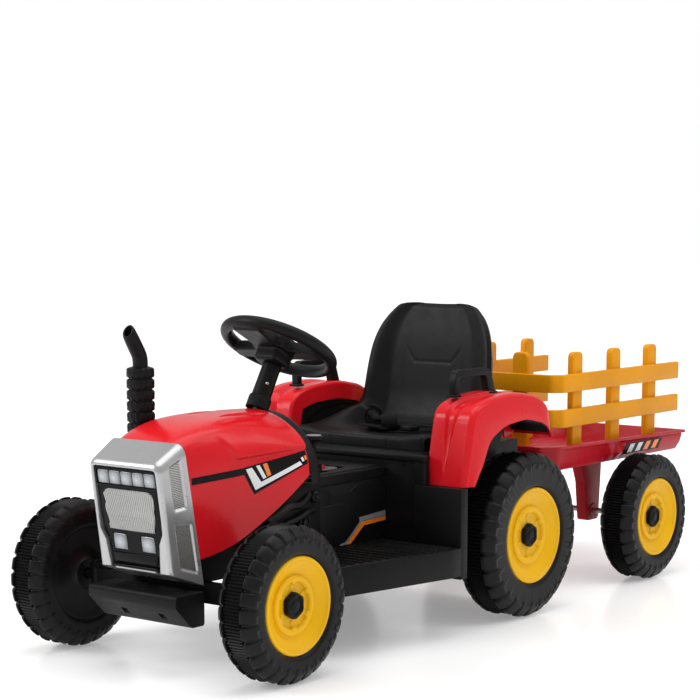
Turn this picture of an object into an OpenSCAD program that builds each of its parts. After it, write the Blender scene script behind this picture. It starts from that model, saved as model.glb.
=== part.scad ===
// Ride-on tractor with a two-wheel trailer.
// Millimetres; the nose points along -Y, +X is the driver's left, +Z is up.
// The origin lies on the ground, under the middle of the whole train.

/* [Overall] */
// Distance from the front axle to the rear axle
wheelbase = 604; // [500:1:730]
// Distance from the rear axle to the trailer axle
trailer_reach = 427; // [400:1:520]
// Distance from the trailer axle to the rear end of the tub
tub_overhang = 206; // [165:1:260]
// Width over the front tyres
overall_w = 483; // [440:1:580]
// Height of the top of the seat back
seat_top_z = 505; // [470:1:606]

/* [Wheels] */
// Radius of a front wheel over its lugs
front_wheel_r = 113; // [100:1:136]
// Width of a front tyre
front_tyre_w = 67; // [56:1:81]
// Radius of a front rim at its lip
front_rim_r = 71; // [59:1:85]
// Radius of a rear wheel over its lugs
rear_wheel_r = 135; // [120:1:162]
// Width of a rear tyre
rear_tyre_w = 75; // [62:1:90]
// Radius of a rear rim at its lip
rear_rim_r = 79; // [66:1:95]
// Radius of a trailer wheel over its lugs
trailer_wheel_r = 113; // [95:1:118]
// Width of a trailer tyre
trailer_tyre_w = 66; // [55:1:79]
// Radius of a trailer rim at its lip
trailer_rim_r = 70; // [58:1:84]
// Lugs round each shoulder of a tyre
lug_count = 28; // [20:4:36]
// Height of a lug
lug_h = 6; // [4:0.5:8]
// Diameter of the axles
axle_d = 10; // [8:0.5:12]

/* [Nose] */
// Width of the hood where it meets the grille
hood_nose_w = 150; // [125:1:170]
// Width of the hood at the cowl
hood_rear_w = 230; // [200:1:250]
// Height of the hood's crest
hood_top_z = 362; // [350:1:372]
// Thickness of the moulded skins
skin = 3; // [2:0.5:4]
// Width of the front bumper
bumper_w = 174; // [145:1:208]
// Radius of the exhaust bellows
bellows_r = 23; // [19:0.5:25]

/* [Cab] */
// Half the centre tunnel's width
tunnel_half_w = 80; // [67:1:96]
// Height of the centre tunnel
tunnel_top_z = 256; // [240:1:268]
// Height of the top of the running boards
board_top_z = 140; // [134:1:160]
// Thickness of the running boards
board_t = 44; // [30:1:48]
// Height of the ledge under the seat
ledge_z = 280; // [272:1:300]
// Outer radius of the steering wheel
steering_r = 94.5; // [79:0.5:105]
// Thickness of the steering wheel's rim
steering_rim_d = 20; // [16:0.5:24]
// Lean of the steering column towards the driver, in degrees
column_lean = 30; // [29:0.5:31]
// Steering angle of the road wheels to each side, in degrees
steer_angle = 16; // [10:1:16]
// Turn of the steering wheel to each side, in degrees
wheel_turn = 40; // [35:1:45]
// Width of the seat back
seat_w = 268; // [223:1:300]

/* [Trailer] */
// Width of the tub over its rim
tub_w = 330; // [300:1:350]
// Height of the tub's rim
tub_rim_z = 250; // [248:1:275]
// Depth of the tub
tub_depth = 36; // [26:1:36]
// Height of the fence posts
fence_top_z = 415; // [380:1:498]
// Width of the fence over its rails
fence_w = 300; // [280:1:302]

/* [Hidden] */

red = "#c8141c";
deep_red = "#a01020";
amber = "#e0a020";
yellow = "#f0c020";
black = "#202022";
silver = "#b4b6ba";
clear = "#d8dde2";
steel = "#8c9096";

seat_gap = 0.3;     // between pieces that rest on each other
running = 0.08;     // radial clearance of a turning shaft
slide_gap = 0.5;    // round a button in its pocket

// Stations along the train
total_l = front_wheel_r + wheelbase + trailer_reach + tub_overhang;
yf = front_wheel_r - total_l / 2;
yr = yf + wheelbase;
yt = yr + trailer_reach;
y_end = total_l / 2;
zf = front_wheel_r;
zr = rear_wheel_r;
zt = trailer_wheel_r;
axle_r = axle_d / 2;

// Across the train
front_out = overall_w / 2;
rear_out = front_out - 1.5;
trailer_out = front_out - 12.5;
front_in = front_out - front_tyre_w;
rear_in = rear_out - rear_tyre_w;
kingpin_x = front_in - 14.5;
pedestal_x = rear_in - 21;
fender_out = rear_out - 12;

// Chassis
chassis_z = zf + 13;
wall = 4;
trough_x = 62;
trough_y0 = yf - 17.6;
tunnel_y0 = yf + 222;
pedestal_y0 = yr - 197;
pedestal_y1 = yr + 88;
panel_z0 = zr - 45;
panel_z1 = zr + 97;

// Hood
hood_y0 = yf - 56;
hood_y1 = yf + 178;
hood_low0 = zf + 45;
hood_low1 = zf + 156;
nose_drop = 28;

// Steering: the wheel's centre, and a crank that pushes the tie rod
steering_centre = [0, yf + 240, zf + 339];
knuckle_arm = 70;
tie_y = yf + knuckle_arm;
tie_z = zf - 16;
tie_travel = knuckle_arm * tan(steer_angle);
crank_r = tie_travel / sin(wheel_turn);
crank_drop = (steering_centre[1] + crank_r * cos(column_lean) - tie_y) / sin(column_lean);
shaft_r = 6;
column_r = 14;
tie_r = 5;
pin_r = 4;

// Exhaust
exhaust_y = yf + 31;
bellows_z0 = zf + 227;
bellows_h = 90;
rib_count = 6;

// Fender tops, above the rear axle
fender_top_z = zr + 226;
fender_rear_z = zr + 206;
fender_y0 = yr - 182;
fender_y1 = yr + 69;
handle_x = (pedestal_x + fender_out) / 2 - 24;

// Trailer
hitch_y = yr + 113;
hitch_z = zr + 7;
tub_y0 = yt - 267;
tub_z0 = tub_rim_z - tub_depth;
fence_y0 = yt - 219;
rail_h = 31;
rail_t = 7;
post_t = 13;
post_w = 26;
load_x = fence_w / 2 - rail_t - post_t - 4;
load_rise = 2;
leg_x = 80;

function lerp(a, b, t) = a + (b - a) * t;
function signed_pow(v, p) = sign(v) * pow(abs(v), p);

// ---------- shared shapes ----------

// Closed skin through rings of equal length, the first ring's turn seen counter-clockwise from outside
module loft(rings) {
    n = len(rings[0]);
    last = (len(rings) - 1) * n;
    points = [for (ring = rings) each ring];
    caps = [[for (j = [n - 1:-1:0]) j], [for (j = [0:n - 1]) last + j]];
    sides = [for (i = [0:len(rings) - 2], j = [0:n - 1])
        let (a = i * n + j, b = i * n + (j + 1) % n) each [[a, b, b + n], [a, b + n, a + n]]];
    polyhedron(points, concat(caps, sides), convexity = 6);
}

module rounded_rect(w, d, r) {
    square([w, d - 2 * r], center = true);
    square([w - 2 * r, d], center = true);
    for (sx = [-1, 1], sy = [-1, 1])
        translate([sx * (w / 2 - r), sy * (d / 2 - r)]) circle(r, $fn = 24);
}

module plate(w, d, h, r) linear_extrude(h) rounded_rect(w, d, r);

// Box between two corners
module span(low, high) translate(low) cube(high - low);

module both_sides() {
    children();
    mirror([1, 0, 0]) children();
}

// Side profile in Y and Z, from x0 to x1
module profile_x(x0, x1, points)
    translate([x0, 0, 0]) rotate([90, 0, 90]) linear_extrude(x1 - x0) polygon(points);

// Round bar along X
module bar_x(x0, x1, r) translate([x0, 0, 0]) rotate([0, 90, 0]) cylinder(h = x1 - x0, r = r, $fn = 48);

// ---------- hood, cowl and grille ----------

function hood_half_w(s) = lerp(hood_nose_w, hood_rear_w, s) / 2;
function hood_low(s) = hood_low0 + (hood_low1 - hood_low0) * (0.27 * s + 0.73 * s * s);
function hood_high(s) = hood_top_z - nose_drop * pow(1 - s, 4);
function hood_power(s) = lerp(5, 2.1, s);

// One side-to-side arch: w its half width, from low to high, k its squareness
function arch_points(y, w, low, high, k, steps) = [for (i = [0:steps]) let (a = 180 * i / steps)
    [w * signed_pow(cos(a), 2 / k), y, low + (high - low) * pow(abs(sin(a)), 2 / k)]];

// The hood's front edge leans forward with height, as the grille shell's rear edge does
function hood_front_y(z) = lerp(yf - 18, hood_y0, (z - zf - 13) / (hood_high(0) - zf - 13));

function reversed(list) = [for (i = [len(list) - 1:-1:0]) list[i]];

function hood_ring(s) = let (w = hood_half_w(s), low = hood_low(s), high = hood_high(s), k = hood_power(s))
    [for (p = concat(arch_points(0, w, low, high, k, 24),
        reversed(arch_points(0, w - skin, low, high - skin, k, 24))))
        [p[0], lerp(hood_front_y(p[2]), hood_y1, s), p[2]]];

// Height of the hood's skin over a point at x
function hood_skin_z(s, x) = let (k = hood_power(s), low = hood_low(s))
    low + (hood_high(s) - low) * pow(1 - pow(abs(x) / hood_half_w(s), k), 1 / k);

module hood() color(red) loft([for (i = [0:12]) hood_ring(i / 12)]);

module cowl() color(black) difference() {
    loft([
        arch_points(hood_y1 + seat_gap, hood_rear_w / 2, hood_low1 - 14, hood_top_z, hood_power(1), 24),
        arch_points(hood_y1 + 24, hood_rear_w / 2 - 3, hood_low1 - 14, hood_top_z - 2, hood_power(1), 24),
        arch_points(hood_y1 + 30, hood_rear_w / 2 - 9, hood_low1 - 14, hood_top_z - 7, hood_power(1), 24)]);
    loft([
        arch_points(hood_y1 - 1, hood_rear_w / 2 - 4, hood_low1 - 20, hood_top_z - 4, hood_power(1), 24),
        arch_points(hood_y1 + 26, hood_rear_w / 2 - 12, hood_low1 - 20, hood_top_z - 11, hood_power(1), 24)]);
    on_column(40) cylinder(h = 160, r = shaft_r + 2, center = true, $fn = 48);
}

// Grille shell: t runs from its front edge to its rear edge, v from bottom to top
function nose_y(t, v) = lerp(lerp(yf - 86, yf - 104, v), lerp(yf - 18, hood_y0 - seat_gap, v), t);
function nose_z(t, v) = lerp(lerp(zf + 36, zf + 194, v), lerp(zf + 13 + seat_gap, hood_high(0), v), t);
function nose_half_w(t) = lerp(hood_nose_w / 2 - 9, hood_nose_w / 2, t);
function nose_ring(t, inset) = [for (i = [0:31]) let (a = 360 * i / 32, k = 7, w = nose_half_w(t) - inset,
    v = 0.5 + (0.5 - inset / 180) * signed_pow(sin(a), 2 / k))
    [w * signed_pow(cos(a), 2 / k), nose_y(t, v), nose_z(t, v)]];

module grille_frame() color(silver) difference() {
    loft([nose_ring(0, 1), nose_ring(0.06, 0), nose_ring(1, 0)]);
    loft([nose_ring(-0.1, 6), nose_ring(1.1, 6)]);
}

panel_t = 0.08;
panel_foot = [0, nose_y(panel_t, 0), nose_z(panel_t, 0)];
panel_head = [0, nose_y(panel_t, 1), nose_z(panel_t, 1)];
panel_lean = atan((panel_foot[1] - panel_head[1]) / (panel_head[2] - panel_foot[2]));

module grille_panel() color(black) loft([nose_ring(panel_t, 6 + seat_gap), nose_ring(0.16, 6 + seat_gap)]);

// Places a child on the panel: X across, Y up the panel, Z outwards
module on_panel(x, v) translate(panel_foot) rotate([90 + panel_lean, 0, 0]) translate([x, v, 0.1]) children();

mesh_w = 92;
mesh_h = 56;
mesh_rib = 4;
module grille_mesh() color(silver) {
    on_panel(0, 92) plate(mesh_w, mesh_h, 1.6, 9);
    for (i = [-10:10])
        on_panel(i * mesh_rib, 92) translate([0, 0, 2.4]) cube([1.6, mesh_h - 4, 1.6], center = true);
}

module lamp_lenses() color(clear) {
    for (i = [-2:2]) on_panel(i * 22, 138) plate(20, 20, 2.4, 3);
    for (side = [-1, 1]) on_panel(side * 30, 42) plate(26, 24, 2.4, 4);
}

module front_bumper() color(black) {
    profile_x(-bumper_w / 2, bumper_w / 2, [[yf - 28, zf + 8], [yf - 90, zf + 8], [yf - 90, zf - 9],
        [yf - 55, zf - 42], [yf - 28, zf - 42]]);
    both_sides() span([24, yf - 29, zf - 20], [50, yf - 13 - seat_gap, zf - 2]);
}

// ---------- exhaust ----------

exhaust_s = (exhaust_y - hood_y0) / (hood_y1 - hood_y0);
exhaust_x = -(hood_half_w(exhaust_s) + 3);
exhaust_foot = hood_skin_z(exhaust_s, -exhaust_x - 14) + 1;

module exhaust_bellows() color(black) translate([exhaust_x, exhaust_y, 0]) difference() {
    union() {
        translate([0, 0, exhaust_foot]) cylinder(h = bellows_z0 - exhaust_foot + 1, r = 14, $fn = 48);
        translate([0, 0, bellows_z0]) cylinder(h = bellows_h, r = bellows_r - 5, $fn = 48);
        for (i = [0:rib_count - 1])
            translate([0, 0, bellows_z0 + bellows_h * i / rib_count]) cylinder(h = 9, r = bellows_r, $fn = 48);
    }
    translate([0, 0, bellows_z0 + 10]) cylinder(h = bellows_h, r = 10 + seat_gap, $fn = 48);
}

pipe_bend_z = bellows_z0 + bellows_h + 24;
module exhaust_pipe() color(black) translate([exhaust_x, exhaust_y, 0]) {
    translate([0, 0, bellows_z0 + 10 + seat_gap])
        cylinder(h = pipe_bend_z - bellows_z0 - 10 - seat_gap, r = 10, $fn = 48);
    translate([0, 0, pipe_bend_z]) sphere(r = 10, $fn = 48);
    translate([0, 0, pipe_bend_z]) rotate([32, 0, 0]) difference() {
        cylinder(h = 42, r = 10, $fn = 48);
        translate([0, 0, 12]) cylinder(h = 40, r = 7.5, $fn = 48);
        translate([0, 14, 40]) rotate([-32, 0, 0]) cube([40, 40, 12], center = true);
    }
}

// ---------- chassis and cab ----------

engine_x = trough_x + 34;
engine_y0 = yf + 84;
engine_z = zf + 142;

module body_shell() color(black) {
    difference() {
        union() {
            span([-trough_x, trough_y0, chassis_z], [trough_x, tunnel_y0, zf + 72]);
            profile_x(-engine_x, engine_x, [[engine_y0, chassis_z], [engine_y0, zf + 80],
                [hood_y1 + 2, engine_z], [tunnel_y0, engine_z - 4], [tunnel_y0, chassis_z]]);
            span([-tunnel_half_w, tunnel_y0, chassis_z], [tunnel_half_w, pedestal_y0 + wall, tunnel_top_z]);
            span([-pedestal_x, pedestal_y0, panel_z0], [pedestal_x, pedestal_y1, ledge_z]);
        }
        // hollow of the nose, the tunnel and the pedestal
        span([-trough_x + wall, trough_y0 + wall, chassis_z + wall],
            [trough_x - wall, tunnel_y0 + 1, zf + 200]);
        profile_x(-engine_x + wall, engine_x - wall, [[engine_y0 + wall, chassis_z + wall],
            [engine_y0 + wall, zf + 74], [hood_y1, engine_z - 8], [tunnel_y0 + 1, engine_z - 9],
            [tunnel_y0 + 1, chassis_z + wall]]);
        span([-tunnel_half_w + wall, tunnel_y0 - 1, chassis_z + wall],
            [tunnel_half_w - wall, pedestal_y0 + 1, tunnel_top_z - wall]);
        span([-pedestal_x + wall, pedestal_y0 + wall, panel_z0 + wall],
            [pedestal_x - wall, pedestal_y1 - wall, ledge_z - wall]);
        // opening for the steering crank
        span([-48, yf + 14, chassis_z - 1], [48, yf + 92, chassis_z + wall + 1]);
        // clear way for the steering shaft
        on_column(200) cylinder(h = 260, r = shaft_r + 4, center = true, $fn = 48);
        // rear axle and motors
        translate([0, yr, zr]) bar_x(-pedestal_x - 1, pedestal_x + 1, axle_r + 0.2);
        both_sides() translate([0, yr - 45, zr + 26]) bar_x(pedestal_x - 10, pedestal_x + 1, motor_r + 0.3);
        // pocket of the power switch
        translate([switch_x, switch_y, tunnel_top_z - 12]) cylinder(h = 13, r = switch_r + slide_gap, $fn = 48);
    }
    // lower panels in front of the rear wheels
    both_sides() span([pedestal_x - wall, yr - 200, panel_z0], [fender_out + 2, yr - 182, panel_z1 - seat_gap]);
    // ears that carry the gear lever
    for (side = [-1, 1]) translate([lever_x + side * 8.5, lever_y, tunnel_top_z]) difference() {
        span([-2.5, -8, -0.5], [2.5, 8, 16]);
        translate([0, 0, 8]) bar_x(-4, 4, 3 + running);
    }
}

board_y0 = yf + 138;
board_y1 = yr - 200 - seat_gap;
board_x0 = engine_x + seat_gap;
board_front_x = kingpin_x + 28;
board_rear_x = front_out - 11;
pedal_x = (board_x0 + board_front_x) / 2 - 2;
pedal_y = board_y0 + 84;

module running_boards() color(black) {
    both_sides() {
        translate([0, 0, board_top_z - board_t]) linear_extrude(board_t) polygon([
            [board_x0, board_y0], [board_front_x, board_y0], [board_rear_x, board_y1 - 30],
            [board_rear_x, board_y1], [tunnel_half_w + seat_gap, board_y1],
            [tunnel_half_w + seat_gap, tunnel_y0 + 0.5], [board_x0, tunnel_y0 + 0.5]]);
        for (i = [0:6]) span([board_x0 + 12, board_y1 - 20 - i * 14, board_top_z - 0.5],
            [board_front_x - 8, board_y1 - 13 - i * 14, board_top_z + 2]);
    }
    // ears of the pedal hinge
    for (side = [-1, 1]) translate([-pedal_x + side * 22, pedal_y, board_top_z]) difference() {
        span([-2.5, -6, -0.5], [2.5, 6, 12]);
        translate([0, 0, 6]) bar_x(-4, 4, 3 + running);
    }
}

module accelerator_pedal() color(black) translate([-pedal_x, pedal_y, board_top_z + 6]) {
    bar_x(-24.5, 24.5, 3);
    bar_x(-17, 17, 5.5);
    rotate([-18, 0, 0]) {
        span([-19, -74, -2], [19, 0, 4]);
        for (i = [0:4]) span([-16, -68 + i * 12, 3.5], [16, -64 + i * 12, 6]);
    }
}

lever_x = 42;
lever_y = tunnel_y0 + 50;
module gear_lever() color(black) translate([lever_x, lever_y, tunnel_top_z + 8]) {
    bar_x(-11, 11, 3);
    bar_x(-5, 5, 6);
    cylinder(h = 44, r = 4, $fn = 32);
    translate([0, 0, 42]) plate(34, 22, 9, 10);
    translate([0, 0, 51]) plate(28, 17, 2, 8);
}

switch_x = 30;
switch_y = tunnel_y0 + 84;
switch_r = 7;
module switch_plate() color(black) translate([switch_x, switch_y + 8, tunnel_top_z + seat_gap]) difference() {
    plate(30, 46, 3, 14);
    translate([0, -8, -1]) cylinder(h = 6, r = switch_r + slide_gap, $fn = 48);
}
module power_switch() color(red) translate([switch_x, switch_y, tunnel_top_z - 8]) {
    cylinder(h = 15, r = switch_r, $fn = 48);
    translate([0, 0, 14]) cylinder(h = 3, r = switch_r - 2, $fn = 48);
}

module body_screws() color(steel) {
    both_sides() for (y = [board_y0 + 12, board_y1 - 8], x = [board_x0 + 6])
        translate([x, y, board_top_z + 0.1]) cylinder(h = 2, r = 3.5, $fn = 24);
    both_sides() translate([pedestal_x - 30, pedestal_y0 - 0.1, ledge_z - 16])
        rotate([90, 0, 0]) cylinder(h = 2, r = 3.5, $fn = 24);
}

// ---------- fenders, handles and seat ----------

function fender_line(i) = [[fender_y0 + i, panel_z1 - 5 * i], [fender_y0 + 28 + i, fender_top_z - i],
    [fender_y1, fender_rear_z + 6 - i], [fender_y1 + 26 - i, fender_rear_z - 4 - i],
    [fender_y1 + 32 - i, zr + 158 - 5 * i]];
fender_arch = [[fender_y0 + 19, panel_z1 - 40], [fender_y0 + 19, panel_z1 + 7], [fender_y0 + 57, zr + 164],
    [yr - 40, zr + 188], [yr + 38, zr + 172], [yr + 90, zr + 150], [yr + 90, panel_z1 - 40]];
function fender_z(y) = lerp(fender_top_z, fender_rear_z + 6, (y - fender_y0 - 28) / (fender_y1 - fender_y0 - 28));

module fender() color(red) difference() {
    profile_x(pedestal_x + seat_gap, fender_out, fender_line(0));
    profile_x(pedestal_x + seat_gap + wall, fender_out - wall, fender_line(wall));
    profile_x(pedestal_x, fender_out + 1, fender_arch);
}
module fender_left() fender();
module fender_right() mirror([1, 0, 0]) fender();

handle_y0 = yr - 132;
handle_y1 = yr - 16;
handle_z = fender_top_z + 41;
module grab_handles() color(black) both_sides() translate([handle_x, 0, 0]) {
    span([-6, handle_y0 - 7, fender_z(handle_y0 - 7) + seat_gap], [6, handle_y0 + 7, handle_z]);
    span([-6, handle_y1 - 14, fender_z(handle_y1 - 14) + seat_gap], [6, handle_y1 + 14, handle_z]);
    span([-6, handle_y0 - 7, handle_z - 11], [6, handle_y1 + 14, handle_z]);
}

seat_y0 = yr - 165;
seat_floor = ledge_z + 20;
pan_x = pedestal_x - 6;
function back_y(z) = yr + 22 + 30 * (z - seat_floor) / (seat_top_z - seat_floor);
function back_half_w(z) = let (h = (z - seat_floor) / (seat_top_z - seat_floor))
    min(lerp(pan_x, seat_w / 2, 0.9), seat_w / 2) * pow(1 - pow(h, 5) * 0.62, 0.6);
// The back's cross-section, its edges brought forward as side wings
function back_ring(z) = let (w = back_half_w(z), y = back_y(z), h = (z - seat_floor) / (seat_top_z - seat_floor),
    wing = 22 * (1 - h), t = 16)
    [[w, y - wing, z], [w - 10, y - wing - 4, z], [w - 34, y - 2, z], [0, y + 4, z], [-w + 34, y - 2, z],
     [-w + 10, y - wing - 4, z], [-w, y - wing, z], [-w + 8, y + t, z], [0, y + t + 6, z], [w - 8, y + t, z]];

module seat() color(black) {
    loft([for (i = [0:10]) back_ring(lerp(seat_floor - 4, seat_top_z, i / 10))]);
    span([-pan_x, seat_y0, ledge_z + seat_gap], [pan_x, yr + 48, seat_floor]);
    both_sides() span([pan_x - 22, yr - 80, seat_floor - 0.5], [pan_x, yr + 20, seat_floor + 26]);
}

belt_z = seat_floor + seat_gap;
module seat_belt() color(black) {
    translate([-34, yr - 70, belt_z]) difference() {
        plate(74, 44, 24, 20);
        translate([0, 0, -1]) plate(50, 22, 26, 10);
    }
    span([pan_x - 70, yr - 60, belt_z], [pan_x - 30, yr + 12, belt_z + 3]);
    span([-pan_x + 30, yr - 20, belt_z], [-pan_x + 60, yr + 12, belt_z + 3]);
}
module belt_buckle() color(black) translate([34, yr - 74, belt_z]) plate(44, 30, 12, 5);

// ---------- drive ----------

motor_r = 18;
battery_w = 151;
module battery() color("#404448") span([-battery_w / 2, yr - 112, panel_z0 + wall + seat_gap],
    [battery_w / 2, yr - 47, panel_z0 + wall + 94]);
module control_box() color("#303438") span([-45, yr + 18, panel_z0 + wall + seat_gap],
    [45, pedestal_y1 - wall - 6, panel_z0 + wall + 30]);

module gearboxes() color(black) both_sides() translate([0, yr, zr]) difference() {
    translate([pedestal_x + seat_gap, 0, 0]) rotate([0, 90, 0]) rotate([0, 0, 90]) linear_extrude(rear_in
        - pedestal_x - 2) union() {
        circle(r = 34, $fn = 48);
        translate([-45, 26]) circle(r = 24, $fn = 48);
        polygon([[-8, 33], [-52, 49], [-62, 10], [-14, -31]]);
    }
    bar_x(0, rear_in + 1, axle_r + 0.05);
}

module motors() color(steel) both_sides() translate([0, yr - 45, zr + 26])
    bar_x(pedestal_x - 58, pedestal_x + seat_gap - 0.1, motor_r);

// ---------- axles, hitch and steering gear ----------

// A wheel's stations along its axle, from its middle
cap_h = 12;
function disc_face(w) = w / 2 - 18;

// A rod's free end inside the hub cap, with its push-on nut
module axle_end(x_from, x_mid, w) {
    bar_x(x_from, x_mid + disc_face(w) + 4.5, axle_r);
    bar_x(x_mid + disc_face(w) + 0.4, x_mid + disc_face(w) + 3.5, axle_r + 2.5);
}

module rear_axle() color(steel) translate([0, yr, zr]) {
    both_sides() axle_end(-1, rear_out - rear_tyre_w / 2, rear_tyre_w);
}

module trailer_axle() color(steel) translate([0, yt, zt]) {
    both_sides() axle_end(-1, trailer_out - trailer_tyre_w / 2, trailer_tyre_w);
}

module front_axle_beam() color(steel) translate([0, yf, zf]) {
    span([-kingpin_x + 14, -13, -14], [kingpin_x - 14, 13, 13]);
    both_sides() for (z0 = [-20, 12.3]) translate([0, 0, z0]) difference() {
        union() {
            span([kingpin_x - 34, -10, 0], [kingpin_x, 10, 7.7]);
            translate([kingpin_x, 0, 0]) cylinder(h = 7.7, r = 10, $fn = 48);
        }
        translate([kingpin_x, 0, -1]) cylinder(h = 10, r = axle_r + running, $fn = 48);
    }
}

slot_play = 0.6;
module knuckle() color(steel) translate([kingpin_x, yf, zf]) {
    cylinder(h = 24, r = 9, center = true, $fn = 48);
    cylinder(h = 43, r = axle_r, center = true, $fn = 48);
    for (z0 = [-23, 20.3]) translate([0, 0, z0]) cylinder(h = 2.7, r = 8, $fn = 48);
    bar_x(0, 13, 8);
    translate([-kingpin_x, 0, 0]) axle_end(kingpin_x, front_out - front_tyre_w / 2, front_tyre_w);
    difference() {
        span([-8, 4, -8], [8, knuckle_arm + 11, -2]);
        span([-pin_r - slot_play, knuckle_arm - pin_r - slot_play, -9],
            [pin_r + slot_play, knuckle_arm / cos(steer_angle) + pin_r + slot_play, -1]);
    }
}
module knuckle_left() knuckle();
module knuckle_right() mirror([1, 0, 0]) knuckle();

// Places a child on the steering axis, drop below the wheel's centre; Y points towards the driver
module on_column(drop) translate(steering_centre) rotate([-column_lean, 0, 0]) translate([0, 0, -drop]) children();

eye_play = 1.2;
module tie_rod() color(steel) {
    translate([0, tie_y, tie_z]) both_sides() {
        bar_x(10, kingpin_x, tie_r);
        translate([kingpin_x, 0, -tie_r - 1]) cylinder(h = 2 * tie_r + 1.5, r = tie_r + 2, $fn = 48);
        translate([kingpin_x, 0, tie_r]) cylinder(h = 10, r = pin_r, $fn = 48);
        span([8, -8, -5], [16, 8, 5]);
    }
    on_column(crank_drop) translate([0, crank_r, 0]) difference() {
        span([-16, -18, -4], [16, 12, 4]);
        span([-pin_r - eye_play, -crank_r * (1 - cos(wheel_turn)) - pin_r - 1, -5], [pin_r + eye_play,
            pin_r + 1, 5]);
    }
}

module steering_shaft() color(steel) {
    on_column(crank_drop - 5) cylinder(h = crank_drop - 5 - 7.3, r = shaft_r, $fn = 48);
    on_column(crank_drop - 5) {
        cylinder(h = 6, r = 8, $fn = 48);
        translate([0, crank_r, 0]) cylinder(h = 6, r = 7, $fn = 48);
        span([-6, 0, 0], [6, crank_r, 6]);
        translate([0, crank_r, -9]) cylinder(h = 10, r = pin_r, $fn = 32);
    }
}

column_foot = 94;
module steering_column() color(black) difference() {
    union() {
        on_column(column_foot) cylinder(h = column_foot - 24, r = column_r, $fn = 48);
        on_column(column_foot) cylinder(h = 8, r = column_r + 4, $fn = 48);
        on_column(36) cylinder(h = 10, r = column_r + 2, $fn = 48);
    }
    on_column(column_foot + 1) cylinder(h = 90, r = shaft_r + running, $fn = 48);
}

hub_x = 34;
horn_x = 22;
horn_r = 7;
module steering_wheel() color(black) on_column(0) difference() {
    union() {
        rotate_extrude($fn = 96) translate([steering_r - steering_rim_d / 2, 0]) circle(d = steering_rim_d, $fn = 32);
        span([-hub_x, -26, -12], [hub_x, 22, 10]);
        span([-steering_r + 12, -10, -8], [steering_r - 12, 10, 4]);
        span([-22, -steering_r + 12, -8], [22, 0, 4]);
    }
    both_sides() translate([horn_x, 8, 2]) cylinder(h = 10, r = horn_r + slide_gap, $fn = 48);
    translate([0, 0, -13]) cylinder(h = 6, r = shaft_r + 0.05, $fn = 48);
}
module horn_button() color("#505458") on_column(0) translate([horn_x, 8, 5]) cylinder(h = 7.5, r = horn_r, $fn = 48);
module horn_button_left() horn_button();
module horn_button_right() mirror([1, 0, 0]) horn_button();

module hitch() color(steel) {
    translate([0, hitch_y, 0]) difference() {
        for (z0 = [hitch_z - 14, hitch_z + 8]) {
            translate([0, 0, z0]) cylinder(h = 6, r = 14, $fn = 48);
            span([-14, pedestal_y1 - hitch_y + seat_gap, z0], [14, 0, z0 + 6]);
        }
        translate([0, 0, hitch_z - 20]) cylinder(h = 40, r = axle_r + 0.05, $fn = 48);
    }
    translate([0, hitch_y, 0]) {
        translate([0, 0, hitch_z - 20]) cylinder(h = 40, r = axle_r, $fn = 48);
        for (z0 = [hitch_z - 17, hitch_z + 14 + seat_gap]) translate([0, 0, z0]) cylinder(h = 2.7, r = 8, $fn = 48);
    }
    span([-14, pedestal_y1 + seat_gap, hitch_z - 14], [14, pedestal_y1 + 5, hitch_z + 14]);
}

// ---------- trailer ----------

// Outline of the tub at a height, its front corners cut; grow moves each side outwards
function tub_ring(grow, z) = let (w = tub_w / 2 + grow, y0 = tub_y0 - grow, y1 = y_end + grow, c = 42)
    [[w, y1, z], [w, y0 + c, z], [w - c * 0.8, y0, z], [-w + c * 0.8, y0, z], [-w, y0 + c, z], [-w, y1, z]];

module trailer_tub() color(deep_red) difference() {
    union() {
        loft([tub_ring(-14, tub_z0), tub_ring(-4, tub_rim_z - 4)]);
        translate([0, 0, tub_rim_z - 5]) linear_extrude(5) polygon([for (p = tub_ring(0, 0)) [p[0], p[1]]]);
    }
    difference() {
        loft([tub_ring(-18, tub_z0 + wall), tub_ring(-8, tub_rim_z + 0.1)]);
        // raised load floor, inside the fence posts
        span([-load_x, fence_y0 + rail_t + post_t + 6, tub_z0], [load_x, y_end - 24, tub_z0 + wall + load_rise]);
    }
}

fence_x = fence_w / 2;
corner = 32;
module rail(z0) translate([0, 0, z0]) linear_extrude(rail_h) polygon([
    [fence_x, y_end - 3], [fence_x, fence_y0 + corner], [fence_x - corner, fence_y0],
    [-fence_x + corner, fence_y0], [-fence_x, fence_y0 + corner], [-fence_x, y_end - 3],
    [-fence_x + rail_t, y_end - 3], [-fence_x + rail_t, fence_y0 + corner + 3],
    [-fence_x + corner + 3, fence_y0 + rail_t], [fence_x - corner - 3, fence_y0 + rail_t],
    [fence_x - rail_t, fence_y0 + corner + 3], [fence_x - rail_t, y_end - 3]]);

post_y = [for (i = [0:2]) fence_y0 + 75 + i * 130.5];
module fence_panels() color(amber) {
    rail(fence_top_z - 68);
    rail(fence_top_z - 129);
    both_sides() for (y = post_y) translate([0, y, 0]) {
        span([fence_x - rail_t - post_t + 2, -post_w / 2, tub_z0 + wall + seat_gap],
            [fence_x - rail_t + 0.5, post_w / 2, fence_top_z - 10]);
        translate([fence_x - rail_t - post_t + 2, 0, fence_top_z - 13]) bar_x(0, post_t - 1.5, post_w / 2);
    }
    for (x = [-62, 62]) translate([x, fence_y0 + rail_t - 0.5, 0]) {
        span([-post_w / 2, 0, tub_z0 + wall + seat_gap], [post_w / 2, post_t, fence_top_z - 10]);
        translate([0, post_t, fence_top_z - 13]) rotate([90, 0, 0]) cylinder(h = post_t, r = post_w / 2, $fn = 48);
    }
}

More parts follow.
